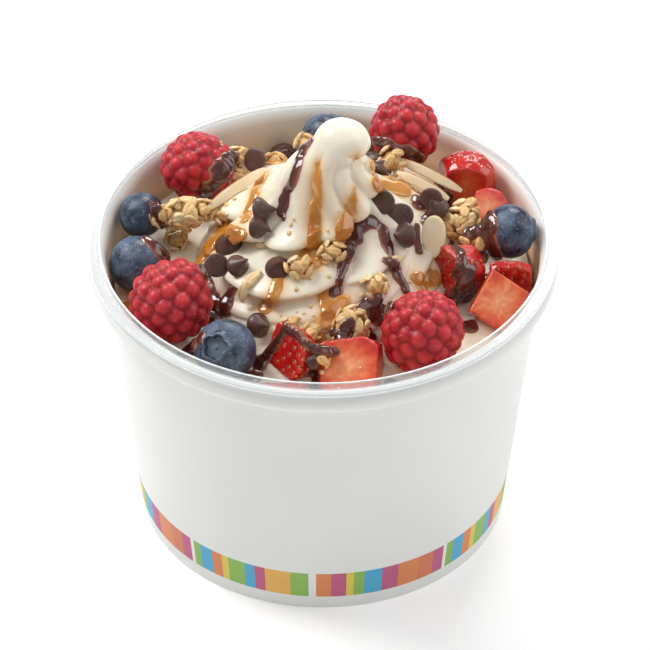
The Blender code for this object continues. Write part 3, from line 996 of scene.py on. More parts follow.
blueberry = {
    # node, middle, radius, direction of the crown
    "berries": (
        ("blueberry_1", (-45.6, 15.4, 77.4), 5.9, (-0.5, 0.6, 0.2)),
        ("blueberry_2", (-46.6, -2.2, 76.0), 7.0, (-0.2, 0.8, -0.7)),
        ("blueberry_3", (-24.2, -35.2, 75.4), 7.8, (-0.36, -0.62, 0.68)),
        ("blueberry_4", (46.9, 6.2, 79.7), 6.8, (0.93, 0.28, -0.1)),
        ("blueberry_5", (0.9, 44.6, 79.0), 6.5, (0.4, 0.7, 0.2)),
    ),
    "squash": 0.92,
    "mouth": 0.36,
    "mouthWave": 0.11,
    "sink": 0.20,
    "lip": 0.08,
    "segments": 90,
    "rings": 60,
}


def buildBlueberry(node, middle, radius, crown, chance, material):
    deselectAll()
    bpy.ops.mesh.primitive_uv_sphere_add(segments=blueberry["segments"], ring_count=blueberry["rings"], radius=1)
    piece = newPiece(node + "Fruit")
    points = pointsOf(piece)
    # crowd the rows towards the crown
    polar = math.pi * (np.arccos(np.clip(points[:, 2], -1, 1)) / math.pi) ** 1.5
    around = np.arctan2(points[:, 1], points[:, 0])
    scallop = np.abs(np.cos(2.5 * around + chance.uniform(0, 1)))
    across = np.sin(polar)
    edge = blueberry["mouth"] + blueberry["mouthWave"] * (scallop - 0.5) + 0.02 * np.sin(3 * around + 1)
    front = polar < math.pi / 2
    inside = np.where(front, 1 - softStep(edge - 0.035, edge + 0.02, across), 0)
    lip = np.where(front, np.exp(-((across - edge - 0.05) / 0.055) ** 2), 0) * (0.6 + 0.6 * scallop)
    dip = np.where(front, np.exp(-((across - edge - 0.22) / 0.12) ** 2), 0)
    height = np.cos(polar) * blueberry["squash"] - 0.03 * dip
    floor = blueberry["squash"] - blueberry["sink"] + 0.05 * np.exp(-(across / 0.05) ** 2) - 0.03 * across / 0.3
    height = height * (1 - inside) + floor * inside + blueberry["lip"] * lip
    points = np.stack([across * np.cos(around), across * np.sin(around), height], axis=1)
    shape = np.array([noise.noise(Vector(point) * 1.3 + Vector((middle[0], 0, 0))) for point in points])
    points *= (1 + 0.02 * shape)[:, None] * radius * mm
    storeValues(piece, "mouth", inside)
    storeValues(piece, "lip", np.clip(lip, 0, 1))
    turn = Vector((0, 0, 1)).rotation_difference(Vector(crown)).to_matrix()
    points = points @ np.array(turn).T + np.array(middle) * mm
    movePoints(piece, points)
    smoothBelow(piece, 70)
    return addToModel(piece, [material], [node])


def makeBlueberryFinish():
    # dark skin under a patchy pale bloom
    material, nodes, links, shader = newMaterial("blueberrySkin")
    grain = addGrain(nodes, 900.0, 240.0, 1500.0, 0.62)
    skin = addRamp(nodes, ((0.3, (0.006, 0.010, 0.028)), (0.7, (0.018, 0.030, 0.070))))
    links.new(grain.outputs["Mottle"], skin.inputs["Fac"])
    patch = addRamp(nodes, ((0.36, grey(0.05)), (0.50, grey(0.55)), (0.64, grey(1.0))))
    links.new(grain.outputs["Mottle"], patch.inputs["Fac"])
    fine = mathNode(nodes, links, "MULTIPLY_ADD", grain.outputs["Grain"], 1.5, -0.02)
    bloomAndSheen = mathNode(nodes, links, "MULTIPLY", patch.outputs["Color"], fine)
    colour = mixColours(nodes, links, bloomAndSheen, skin.outputs["Color"], (0.105, 0.155, 0.235))
    mouth = addNode(nodes, "ShaderNodeAttribute", attribute_name="mouth")
    lip = addNode(nodes, "ShaderNodeAttribute", attribute_name="lip")
    # inside the crown: near-black down the inner wall of the opening as painted shade, paler on its floor
    mouthShadeAndFloor = addRamp(nodes, ((0.25, (0.012, 0.018, 0.035)), (0.75, (0.008, 0.012, 0.025)), (1.0, (0.12, 0.165, 0.22))))
    links.new(mouth.outputs["Fac"], mouthShadeAndFloor.inputs["Fac"])
    opened = mathNode(nodes, links, "MULTIPLY", mouth.outputs["Fac"], 3.0, clamp=True)
    colour = mixColours(nodes, links, opened, colour, mouthShadeAndFloor.outputs["Color"])
    pale = mathNode(nodes, links, "MULTIPLY", lip.outputs["Fac"], 0.45)
    colour = mixColours(nodes, links, pale, colour, (0.20, 0.27, 0.38))
    dust = mathNode(nodes, links, "MULTIPLY", grain.outputs["Specks"], 0.3)
    links.new(mixColours(nodes, links, dust, colour, (0.38, 0.44, 0.52)), shader.inputs["Base Color"])
    rough = addNode(nodes, "ShaderNodeMapRange")
    rough.inputs["To Min"].default_value = 0.3
    rough.inputs["To Max"].default_value = 0.62
    links.new(bloomAndSheen, rough.inputs["Value"])
    links.new(rough.outputs["Result"], shader.inputs["Roughness"])
    addBump(nodes, links, shader, grain.outputs["Grain"], 0.25, 0.08)
    return material


blueberryFinish = makeBlueberryFinish()
for index, (node, middle, radius, crown) in enumerate(blueberry["berries"]):
    fruit.append(buildBlueberry(node, middle, radius, crown, random.Random(31 + index), blueberryFinish))
print("blueberries")


strawberry = {
    # node, middle, half sizes, flat cuts (direction and distance)
    "pieces": (
        ("strawberry_1", (36.4, 29.8, 75.4), (9.4, 9.0, 9.0),
         (((-0.1, -1.0, 0.10), 4.6), ((0.78, 0.62, 0.1), 5.8), ((-1.0, -0.2, 0.1), 6.3),
          ((0.9, -0.5, 0), 6.4), ((0, 1, 0), 5.0), ((0, 0, -1), 3.0))),
        ("strawberry_2", (41.6, 20.0, 75.6), (5.8, 5.4, 5.4),
         (((-0.1, -0.6, 0.8), 2.6), ((-1, 0.2, 0.1), 3.8), ((0.4, -0.9, 0), 3.2),
          ((0.9, 0.5, 0), 3.9), ((0, 1, 0), 3.4), ((0, 0, -1), 3.8))),
        ("strawberry_3", (32.0, -5.4, 75.6), (8.6, 8.6, 9.4),
         (((-0.80, -0.56, 0.20), 3.2), ((-0.2, 0.97, 0.2), 3.6), ((0.1, 0.2, 1), 7.6),
          ((0, 0, -1), 5.0), ((0.6, -0.7, -0.3), 6.2))),
        ("strawberry_4", (46.0, -4.0, 71.6), (8.4, 7.0, 7.2),
         (((-1, 0.05, 0.05), 4.6), ((0.1, -1, 0.1), 3.0), ((1, 0, 0), 6.2),
          ((0, 0.9, 0.45), 3.0), ((0, 0, -1), 1.6))),
        ("strawberry_5", (43.6, -16.4, 75.2), (9.8, 9.8, 9.8),
         (((0.17, -0.67, 0.73), 2.2), ((0.86, -0.26, -0.44), 5.6), ((-0.86, 0.26, 0.44), 5.4),
          ((0.545, 0.60, 0.585), 6.2), ((-0.545, -0.60, -0.585), 6.0), ((-0.17, 0.67, -0.73), 4.4))),
        ("strawberry_6", (-8.8, -33.6, 75.0), (7.2, 8.4, 9.2),
         (((-0.74, -0.58, 0.34), 1.8), ((0.45, 0.72, 0.52), 4.2), ((-0.5, 0.86, 0), 4.4),
          ((0, 0, -1), 5.2))),
        ("strawberry_7", (-9.8, -41.9, 68.2), (7.4, 4.2, 4.4),
         (((0, 0.6, 0.8), 1.8), ((0, 0, -1), 2.4), ((-1, 0, 0), 6.4), ((1, 0, 0), 6.2))),
        ("strawberry_8", (7.0, -38.6, 72.0), (11.2, 9.0, 9.0),
         (((-0.24, -0.62, 0.75), 3.6), ((-1, -0.1, 0), 8.0), ((0.95, -0.2, 0.1), 7.3),
          ((0.05, 1, 0.1), 4.2), ((0, 0, -1), 4.4))),
    ),
    "voxel": 0.33,
    "seedSpacing": 2.7,
    "seedSize": (0.48, 0.29, 0.26),
    "dimple": 0.95,
    "dimpleDepth": 0.5,
    "bulge": 0.14,
    # sides that keep their seeded skin, by their place in the list of cuts
    "skinned": {"strawberry_3": (0,), "strawberry_4": (1, 3), "strawberry_6": (0,), "strawberry_7": (0,)},
    # how far each piece's flesh is shifted from pale core towards red skin
    "ripeness": (0.26, -0.06, 0.45, 0.5, 0.17, 0.12, 0.4, 0.02),
}


def spreadDirections(count):
    # an even spiral of directions
    golden = math.pi * (3 - math.sqrt(5))
    out = []
    for i in range(count):
        z = 1 - 2 * (i + 0.5) / count
        flat = math.sqrt(1 - z * z)
        out.append(Vector((flat * math.cos(golden * i), flat * math.sin(golden * i), z)))
    return out


def buildStrawberry(node, middle, half, cuts, ripeness, materials):
    deselectAll()
    bpy.ops.mesh.primitive_uv_sphere_add(segments=48, ring_count=32, radius=mm)
    piece = newPiece(node + "Fruit")
    piece.scale = half
    settle(piece)
    planes = [(Vector(way).normalized(), distance * mm) for way, distance in cuts]
    bpy.ops.object.mode_set(mode="EDIT")
    for way, distance in planes:
        bpy.ops.mesh.select_all(action="SELECT")
        bpy.ops.mesh.bisect(plane_co=way * distance, plane_no=way, use_fill=True, clear_outer=True)
    bpy.ops.object.mode_set(mode="OBJECT")
    remeshPiece(piece, strawberry["voxel"], 3, 0.5)

    points = pointsOf(piece)
    normals = normalsOf(piece)
    skinned = strawberry["skinned"].get(node, ())
    cut = [plane for i, plane in enumerate(planes) if i not in skinned]
    inside = np.min([distance - points @ np.array(way) for way, distance in cut], axis=0) / mm
    size = np.array(half) * mm
    skin = softStep(0.15, 0.5, inside)
    depth = np.linalg.norm(points / size, axis=1)
    way = points / size / np.maximum(depth, 1e-6)[:, None]

    # seeds in dimples, on what is left of the skin
    seeds = []
    count = round(4 * math.pi * (sum(half) / 3) ** 2 / strawberry["seedSpacing"] ** 2)
    offset = np.zeros(len(points))
    for out in spreadDirections(count):
        spot = Vector((out.x * size[0], out.y * size[1], out.z * size[2]))
        facing = Vector((out.x / size[0], out.y / size[1], out.z / size[2])).normalized()
        for i in skinned:
            side, reach = planes[i]
            if spot.dot(side) > reach:
                spot = spot - side * (spot.dot(side) - reach)
                facing = side
        if min([distance - spot.dot(way) for way, distance in cut]) < 0.75 * mm:
            continue
        gap = np.linalg.norm(points - np.array(spot), axis=1) / mm
        offset -= strawberry["dimpleDepth"] * np.exp(-(gap / (strawberry["dimple"] * 0.55)) ** 2)
        offset += 0.10 * np.exp(-((gap - strawberry["dimple"]) / 0.35) ** 2)
        seeds.append((spot, facing))
    rough = np.array([noise.noise(Vector(point) * 700) for point in points])
    offset += strawberry["bulge"] * rough * (0.35 + 0.3 * (1 - skin))
    movePoints(piece, points + normals * (offset * mm)[:, None])
    storeValues(piece, "skin", skin)
    storeValues(piece, "depth", np.clip(depth * (1 - ripeness) + ripeness, 0, 1.2))
    storeVectors(piece, "way", way)

    parts = [piece]
    piece.data.materials.append(materials[0])
    piece.data.materials.append(materials[1])
    for spot, out in seeds:
        deselectAll()
        bpy.ops.mesh.primitive_uv_sphere_add(segments=8, ring_count=6, radius=1)
        seed = newPiece("seed")
        seed.data.materials.append(materials[0])
        seed.data.materials.append(materials[1])
        for face in seed.data.polygons:
            face.material_index = 1
        upward = Vector((0, 0, 1)) - out * out.z
        if upward.length < 0.05:
            upward = Vector((1, 0, 0))
        upward.normalize()
        side = out.cross(upward)
        along, across, thick = strawberry["seedSize"]
        frameIn = Matrix((upward * along * mm, side * across * mm, out * thick * mm)).transposed().to_4x4()
        seed.data.transform(Matrix.Translation(spot - out * 0.24 * mm) @ frameIn)
        parts.append(seed)
    piece = joinAll(parts, node + "Fruit")
    piece.data.transform(Matrix.Translation(Vector(middle) * mm))
    smoothBelow(piece, 70)
    return keepModel(piece, [node])


def makeStrawberryFinish():
    # glossy red skin, and cut flesh that pales and streaks towards the core
    material, nodes, links, shader = newMaterial("strawberryFlesh")
    grain = addGrain(nodes, 1300.0, 220.0, 700.0, 0.62)
    skin = addNode(nodes, "ShaderNodeAttribute", attribute_name="skin")
    depth = addNode(nodes, "ShaderNodeAttribute", attribute_name="depth")
    way = addNode(nodes, "ShaderNodeAttribute", attribute_name="way")
    streak = addNode(nodes, "ShaderNodeTexNoise")
    streak.inputs["Scale"].default_value = 3.2
    streak.inputs["Detail"].default_value = 1.5
    links.new(way.outputs["Vector"], streak.inputs["Vector"])
    wander = mathNode(nodes, links, "MULTIPLY_ADD", streak.outputs["Fac"], 0.6, -0.30)
    marbled = mathNode(nodes, links, "MULTIPLY_ADD", grain.outputs["Mottle"], 0.3, -0.15)
    level = mathNode(nodes, links, "ADD", depth.outputs["Fac"], mathNode(nodes, links, "ADD", wander, marbled))
    flesh = addRamp(nodes, ((0.12, (0.90, 0.60, 0.42)), (0.40, (0.84, 0.34, 0.15)), (0.62, (0.76, 0.15, 0.045)),
                            (0.85, (0.66, 0.045, 0.016)), (1.0, (0.55, 0.012, 0.010))))
    links.new(level, flesh.inputs["Fac"])
    vein = addRamp(nodes, ((0.58, grey(0.0)), (0.76, grey(0.4))))
    links.new(streak.outputs["Fac"], vein.inputs["Fac"])
    paleness = mathNode(nodes, links, "SUBTRACT", 1.05, depth.outputs["Fac"], clamp=True)
    veins = mathNode(nodes, links, "MULTIPLY", vein.outputs["Color"], paleness)
    fleshColour = mixColours(nodes, links, veins, flesh.outputs["Color"], (0.90, 0.62, 0.48))
    red = addRamp(nodes, ((0.3, (0.40, 0.005, 0.006)), (0.7, (0.62, 0.018, 0.012))))
    links.new(grain.outputs["Mottle"], red.inputs["Fac"])
    links.new(mixColours(nodes, links, skin.outputs["Fac"], fleshColour, red.outputs["Color"]), shader.inputs["Base Color"])
    shader.inputs["Subsurface Weight"].default_value = 0.35
    shader.inputs["Subsurface Radius"].default_value = (1.0, 0.22, 0.12)
    shader.inputs["Subsurface Scale"].default_value = 1.5 * mm
    rough = addNode(nodes, "ShaderNodeMapRange")
    rough.inputs["To Min"].default_value = 0.36
    rough.inputs["To Max"].default_value = 0.16
    links.new(skin.outputs["Fac"], rough.inputs["Value"])
    links.new(rough.outputs["Result"], shader.inputs["Roughness"])
    shader.inputs["Coat Weight"].default_value = 0.5
    shader.inputs["Coat Roughness"].default_value = 0.1
    height = mathNode(nodes, links, "ADD", grain.outputs["Grain"], mathNode(nodes, links, "MULTIPLY", streak.outputs["Fac"], 0.8))
    addBump(nodes, links, shader, height, 0.35, 0.2)
    return material


strawberryFinish = makeStrawberryFinish()
seedFinish = foodFinish("strawberrySeed", (0.50, 0.15, 0.03), (0.72, 0.36, 0.09), 0.3, coat=0.4)[0]
for (node, middle, half, cuts), ripeness in zip(strawberry["pieces"], strawberry["ripeness"]):
    fruit.append(buildStrawberry(node, middle, half, cuts, ripeness, [strawberryFinish, seedFinish]))
print("strawberry pieces")


# what lies on top

tilt = math.radians(view["elevation"])
towardsViewer = Vector((0, -math.cos(tilt), math.sin(tilt)))


def landOn(tree, place):
    # the shown surface at a place, and the way it faces
    start = Vector(place) * mm + towardsViewer * 70 * mm
    spot, normal, face, distance = tree.ray_cast(start, -towardsViewer)
    if spot is None:
        spot, normal, face, distance = tree.find_nearest(Vector(place) * mm)
    return spot, normal


def dropOn(tree, x, y):
    # the surface straight below
    spot, normal, face, distance = tree.ray_cast(Vector((x, y, 140)) * mm, Vector((0, 0, -1)))
    return spot, normal


def poseMatrix(spot, upward, spin):
    # own z along upward, turned about it by spin
    turn = Vector((0, 0, 1)).rotation_difference(upward).to_matrix().to_4x4()
    return Matrix.Translation(spot) @ turn @ Matrix.Rotation(spin, 4, "Z")


def raiseEdges():
    # the yogurt creeps up a little where fruit is pressed into it
    tree = treeOf(fruit)
    points = pointsOf(yogurtSwirl)
    rise = np.zeros(len(points))
    for i, point in enumerate(points):
        if point[2] < 67 * mm or math.hypot(point[0], point[1]) > 53.2 * mm:
            continue
        near = tree.find_nearest(Vector(point), 4 * mm)[3]
        if near is not None:
            rise[i] = 1.1 * math.exp(-((near / mm - 0.6) / 1.5) ** 2)
    movePoints(yogurtSwirl, points + np.stack([0 * rise, 0 * rise, rise * mm], axis=1))


raiseEdges()
yogurtTree = treeOf([yogurtSwirl])
fruitTree = treeOf([yogurtSwirl] + fruit)


# granola: rolled oat flakes, alone and baked into clusters

granola = {
    "flake": (2.3, 1.42, 0.74),
    "crease": 0.42,
    "creaseWidth": 0.30,
    "cup": 0.16,
    "ragged": 0.13,
    "segments": 14,
    "rings": 9,
    "kinds": 6,
    # node, flakes, flake size
    "clusters": (
        ("granola_cluster_1", 34, 1.0),
        ("granola_cluster_2", 32, 1.0),
        ("granola_cluster_3", 30, 0.95),
    ),
    # place, half sizes, flakes
    "clumps": (
        ((-23.8, 6.2, 83.6), (4.2, 4.0, 4.6), 13),
        ((-36.5, 4.0, 77.0), (3.8, 3.6, 4.2), 10),
        ((-21.7, 28.0, 79.0), (3.4, 3.0, 3.2), 9),
        ((-18.2, 42.0, 77.0), (3.6, 3.4, 2.6), 9),
        ((-13.3, 40.0, 78.0), (4.0, 3.4, 3.0), 9),
        ((-6.8, 38.0, 82.0), (3.2, 3.0, 2.8), 8),
        ((18.4, 26.0, 88.0), (4.9, 4.4, 4.9), 15),
        ((2.2, -11.9, 87.2), (4.6, 3.6, 3.6), 13),
        ((-5.5, -15.0, 84.3), (4.5, 3.6, 4.0), 12),
        ((11.9, -17.7, 80.6), (4.4, 4.0, 4.6), 12),
        ((-7.9, -26.1, 76.0), (3.0, 2.6, 2.6), 7),
        ((0.0, -38.0, 75.0), (3.2, 3.0, 3.0), 7),
        ((-3.0, -26.8, 73.1), (3.4, 3.0, 2.6), 8),
        ((36.0, 4.0, 79.0), (3.4, 3.2, 3.4), 9),
    ),
    # middle, half sizes, flakes of clumps perched on the big clusters
    "perched": (
        ((-40.0, 11.0, 80.6), (4.0, 3.6, 3.8), 12), ((-29.8, 12.6, 81.6), (4.0, 3.4, 3.2), 11),
        ((38.4, 4.4, 78.0), (3.8, 3.4, 3.4), 10), ((36.0, 15.0, 80.0), (3.4, 3.2, 3.0), 9),
        ((4.6, -33.4, 75.2), (3.6, 3.0, 3.2), 10),
    ),
    # the same on the far side: x, y, half sizes, flakes
    "farClumps": (
        (30.5, 36.5, (3.4, 3.0, 2.6), 8), (-17.0, 45.0, (3.2, 3.0, 2.4), 8),
        (8.0, 36.0, (3.2, 3.0, 2.6), 8), (-41.0, 24.0, (3.0, 2.8, 2.4), 7), (46.0, 15.0, (2.8, 2.6, 2.2), 6),
    ),
    # place, length and width shares, spin in degrees
    "kernels": (
        ((-15.0, -6.1, 86.0), (1.35, 0.85), 28),
        ((16.9, -10.6, 83.4), (1.45, 0.95), 30),
        ((-17.9, -15.1, 80.7), (1.65, 1.15), 38),
        ((-19.5, -16.8, 79.2), (1.35, 1.0), 46),
    ),
    "crumbs": 90,
    "crumb": (0.35, 0.8),
}


def buildFlake(name, chance):
    # a rolled oat: a thin oval with a long crease, cupped, and ragged at its edge
    deselectAll()
    bpy.ops.mesh.primitive_uv_sphere_add(segments=granola["segments"], ring_count=granola["rings"], radius=1)
    piece = newPiece(name)
    points = pointsOf(piece)
    long, wide, thick = granola["flake"]
    around = np.arctan2(points[:, 1], points[:, 0])
    flat = np.hypot(points[:, 0], points[:, 1])
    edge = 1 + granola["ragged"] * (0.5 * np.sin(3 * around + chance.uniform(0, 6)) + 0.35 * np.sin(7 * around + chance.uniform(0, 6))) * flat
    across = points[:, 1] * wide * edge
    along = points[:, 0] * long * edge
    bow = chance.uniform(-0.25, 0.25) * (along / long) ** 2
    crease = np.exp(-((across - bow) / granola["creaseWidth"]) ** 2) * (1 - 0.7 * np.abs(points[:, 0]) ** 4)
    wrinkle = np.exp(-((np.abs(across - bow) - 0.62 * wide) / 0.16) ** 2) * 0.4
    height = points[:, 2] * thick
    height -= np.sign(points[:, 2]) * granola["crease"] * thick * (crease + 0.6 * wrinkle)
    height += granola["cup"] * (flat ** 2) * chance.choice((-1, 1)) + 0.12 * along * across / long
    rough = np.array([noise.noise(Vector(point) * 3.1 + Vector((chance.uniform(0, 9), 0, 0))) for point in points])
    points = np.stack([along, across, height + 0.07 * rough], axis=1) * mm
    movePoints(piece, points)
    storeValues(piece, "crease", np.clip(crease + 0.8 * wrinkle + softStep(0.84, 1.0, flat) * 0.55, 0, 1))
    storeValues(piece, "tone", np.full(len(points), chance.uniform(0, 1)))
    return piece


def makeOatFinish():
    material, nodes, links, shader = newMaterial("bakedOats")
    grain = addGrain(nodes, 1500.0, 320.0, 1100.0, 0.60)
    crease = addNode(nodes, "ShaderNodeAttribute", attribute_name="crease")
    tone = addNode(nodes, "ShaderNodeAttribute", attribute_name="tone")
    mottled = mathNode(nodes, links, "MULTIPLY_ADD", grain.outputs["Mottle"], 0.75, -0.12)
    level = mathNode(nodes, links, "MULTIPLY_ADD", tone.outputs["Fac"], 0.45, mottled)
    ramp = addRamp(nodes, ((0.10, (0.72, 0.44, 0.16)), (0.40, (0.87, 0.62, 0.29)), (0.72, (0.93, 0.75, 0.43)),
                           (1.0, (0.95, 0.84, 0.59))))
    links.new(level, ramp.inputs["Fac"])
    dark = mathNode(nodes, links, "MULTIPLY", crease.outputs["Fac"], 0.38)
    colour = mixColours(nodes, links, dark, ramp.outputs["Color"], (0.40, 0.17, 0.035))
    spots = mathNode(nodes, links, "MULTIPLY", grain.outputs["Specks"], 0.4)
    links.new(mixColours(nodes, links, spots, colour, (0.33, 0.14, 0.04)), shader.inputs["Base Color"])
    rough = addNode(nodes, "ShaderNodeMapRange")
    rough.inputs["To Min"].default_value = 0.42
    rough.inputs["To Max"].default_value = 0.7
    links.new(grain.outputs["Grain"], rough.inputs["Value"])
    links.new(rough.outputs["Result"], shader.inputs["Roughness"])
    shader.inputs["Subsurface Weight"].default_value = 0.15
    shader.inputs["Subsurface Radius"].default_value = (1.0, 0.5, 0.2)
    shader.inputs["Subsurface Scale"].default_value = 0.6 * mm
    addBump(nodes, links, shader, grain.outputs["Grain"], 0.6, 0.25)
    return material


def buildClump(name, middle, half, count, size, flakes, chance):
    # a lumpy core, covered in flakes that overlap like tiles
    deselectAll()
    bpy.ops.mesh.primitive_ico_sphere_add(subdivisions=2, radius=1)
    core = newPiece("core")
    points = pointsOf(core)
    lumps = np.array([noise.noise(Vector(point) * 2.3 + Vector(middle)) for point in points])
    movePoints(core, points * (1 + 0.35 * lumps)[:, None] * np.array(half) * 0.66 * mm)
    storeValues(core, "crease", np.full(len(points), 0.45))
    storeValues(core, "tone", np.full(len(points), 0.3))
    parts = [core]
    for i, way in enumerate(spreadDirections(count)):
        out = (way + Vector([chance.uniform(-0.25, 0.25) for axis in range(3)])).normalized()
        lean = (out + Vector([chance.uniform(-0.42, 0.42) for axis in range(3)])).normalized()
        spot = Vector([out[k] * half[k] * chance.uniform(0.80, 1.0) for k in range(3)]) * mm
        grow = size * chance.uniform(0.78, 1.05)
        matrix = poseMatrix(spot, lean, chance.uniform(0, fullTurn)) @ Matrix.Diagonal((grow, grow, grow, 1))
        flake = copyPiece(flakes[i % len(flakes)], matrix)
        parts.append(flake)
    piece = joinAll(parts, name)
    piece.data.transform(Matrix.Translation(Vector(middle) * mm))
    return piece


def buildGranola(finish):
    chance = random.Random(5)
    flakes = [buildFlake("flake", chance) for kind in range(granola["kinds"])]
    made = []
    for node, count, size in granola["clusters"]:
        low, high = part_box(node)
        middle = [(low[k] + high[k]) / 2 / mm for k in range(3)]
        half = [(high[k] - low[k]) / 2 / mm - 0.2 for k in range(3)]
        piece = buildClump(node + "Oats", middle, half, count, size, flakes, chance)
        smoothBelow(piece, 60)
        made.append(addToModel(piece, [finish], [node]))
    loose = []
    for place, half, count in granola["clumps"]:
        spot, normal = landOn(fruitTree, place)
        middle = (spot + normal * half[2] * 0.42 * mm) / mm
        loose.append(buildClump("clump", tuple(middle), [value * 0.80 for value in half], count, 0.86, flakes, chance))
    for middle, half, count in granola["perched"]:
        loose.append(buildClump("clump", middle, [value * 0.85 for value in half], count, 0.9, flakes, chance))
    for x, y, half, count in granola["farClumps"]:
        spot, normal = dropOn(fruitTree, x, y)
        middle = (spot + normal * half[2] * 0.5 * mm) / mm
        loose.append(buildClump("clump", tuple(middle), [value * 0.80 for value in half], count, 0.86, flakes, chance))
    for place, (long, wide), spin in granola["kernels"]:
        spot, normal = landOn(fruitTree, place)
        matrix = poseMatrix(spot + normal * 0.75 * mm, normal, math.radians(spin)) @ Matrix.Diagonal((long, wide, 1.5, 1))
        loose.append(copyPiece(flakes[1], matrix))
    # crumbs that fell from the clumps
    deselectAll()
    bpy.ops.mesh.primitive_ico_sphere_add(subdivisions=1, radius=mm)
    crumb = newPiece("crumb")
    storeValues(crumb, "crease", np.full(len(crumb.data.vertices), 0.15))
    storeValues(crumb, "tone", np.full(len(crumb.data.vertices), 0.6))
    for i in range(granola["crumbs"]):
        place, half, count = granola["clumps"][i % len(granola["clumps"])]
        x = place[0] + chance.gauss(0, 4.5)
        y = place[1] + chance.gauss(0, 4.5)
        spot, normal = dropOn(fruitTree, x, y)
        if spot is None or math.hypot(spot.x, spot.y) > 52.5 * mm:
            continue
        size = chance.uniform(*granola["crumb"])
        matrix = poseMatrix(spot + normal * size * 0.3 * mm, normal, chance.uniform(0, fullTurn))
        loose.append(copyPiece(crumb, matrix @ Matrix.Diagonal((size, size * chance.uniform(0.6, 1.0), size * 0.55, 1))))
    bpy.data.objects.remove(crumb)
    for flake in flakes:
        bpy.data.objects.remove(flake)
    piece = joinAll(loose, "looseGranola")
    smoothBelow(piece, 60)
    made.append(addToModel(piece, [finish]))
    return made


oatFinish = makeOatFinish()
oats = buildGranola(oatFinish)
print("granola")


# chocolate chips

chips = {
    "outline": [(0.0, 0.10), (1.4, 0.06), (2.5, 0.0), (2.85, 0.08), (3.0, 0.36), (2.95, 0.78), (2.66, 1.30),
                (2.16, 1.85), (1.62, 2.35), (1.16, 2.85), (0.80, 3.35), (0.52, 3.9), (0.30, 4.4), (0.10, 4.72), (0.0, 4.78)],
    "steps": 26,
    "curl": 0.85,
    "middle": 1.5,
    # place, the way the tip points, size
    "places": (
        ((-10.5, 48.0, 75.5), (0.2, -0.2, 1.0), 1.05),
        ((-10.2, 26.0, 88.0), (-0.1, -0.45, 1.0), 1.08),
        ((-16.0, 30.0, 81.0), (0.4, 0.55, -0.5), 1.0),
        ((-27.3, 18.0, 81.0), (0.1, 0.8, -0.7), 1.0),
        ((-13.6, -0.4, 91.3), (0.95, -0.25, 0.35), 1.08),
        ((-15.1, -3.0, 87.8), (0.75, -0.55, 0.25), 1.02),
        ((-23.4, -3.1, 82.0), (-0.15, -0.35, 1.0), 1.12),
        ((-25.6, -9.2, 80.1), (-0.2, 0.7, -0.7), 0.98),
        ((-20.4, -11.6, 82.1), (0.45, -0.35, 0.9), 1.02),
        ((-10.9, -14.5, 84.4), (-0.1, -0.4, 1.0), 1.05),
        ((-15.0, -23.6, 73.0), (0.5, -0.65, 0.6), 1.05),
        ((11.7, 31.0, 84.0), (0.2, 0.8, -0.5), 0.95),
        ((13.0, 34.0, 85.0), (-0.6, 0.2, 0.5), 0.95),
        ((14.3, 3.4, 91.1), (0.1, 0.75, -0.7), 1.04),
        ((18.7, 1.4, 88.0), (-0.1, 0.75, -0.7), 1.04),
        ((19.1, -4.1, 85.5), (-0.75, -0.55, 0.3), 1.08),
        ((27.1, 10.9, 81.8), (-0.5, -0.2, 0.8), 1.05),
        ((30.8, 9.7, 82.0), (0.5, -0.5, 0.5), 1.05),
        ((26.0, 17.0, 79.0), (0.2, 0.8, -0.4), 1.0),
        ((31.5, 21.5, 80.0), (0.3, 0.2, 1.0), 1.0),
    ),
    # chips on the far side: x, y and the way the tip points
    "behind": (
        (8.0, 46.0, (0.2, 0.3, 1.0)), (-22.5, 41.5, (-0.6, 0.4, 0.6)),
        (-3.0, 33.0, (0.5, 0.6, 0.5)), (12.5, 21.0, (0.3, 0.9, 0.3)), (-46.5, 7.0, (-0.5, 0.3, 0.8)),
    ),
}


def buildChips(finish):
    chance = random.Random(9)
    shape = turnedPiece("chip", chips["outline"], chips["steps"], closed=False)
    points = pointsOf(shape)
    height = points[:, 2] / mm
    # the tip curls over where it was drawn off
    points[:, 0] += chips["curl"] * np.clip((height - 2.6) / 2.0, 0, 1) ** 2 * mm
    points[:, 2] -= 0.25 * np.clip((height - 3.6) / 1.0, 0, 1) ** 2 * mm
    movePoints(shape, points)
    tree = treeOf([yogurtSwirl] + fruit + oats)
    spots = [(*landOn(yogurtTree, place), Vector(way), size) for place, way, size in chips["places"]]
    for x, y, way in chips["behind"]:
        spots.append((*dropOn(tree, x, y), Vector(way), 1.0))
    parts = []
    for spot, normal, way, size in spots:
        way.normalize()
        facing = way.dot(normal)
        rise = 1.25 + 1.2 * (1 - abs(facing))
        middle = spot + normal * rise * mm
        start = middle - way * chips["middle"] * size * mm
        size *= 1.05
        grow = Matrix.Diagonal((size * chance.uniform(0.95, 1.05), size * chance.uniform(0.95, 1.05), size, 1))
        spin = chance.uniform(-0.6, 0.6)
        parts.append(copyPiece(shape, poseMatrix(start, way, spin) @ grow))
    bpy.data.objects.remove(shape)
    piece = joinAll(parts, "chocolateChips")
    smoothBelow(piece, 50)
    return addToModel(piece, [finish])


chipFinish = foodFinish("darkChocolate", (0.066, 0.027, 0.019), (0.118, 0.051, 0.037), 0.40, 1600.0, 260.0, 0.22, 0.08,
                        0.05, (1.0, 0.3, 0.2), 0.4, 0.12, (0.20, 0.12, 0.09), 1900.0, 0.66)[0]
chocolateChips = buildChips(chipFinish)
print("chips")


# almonds: cut slivers and a thin slice

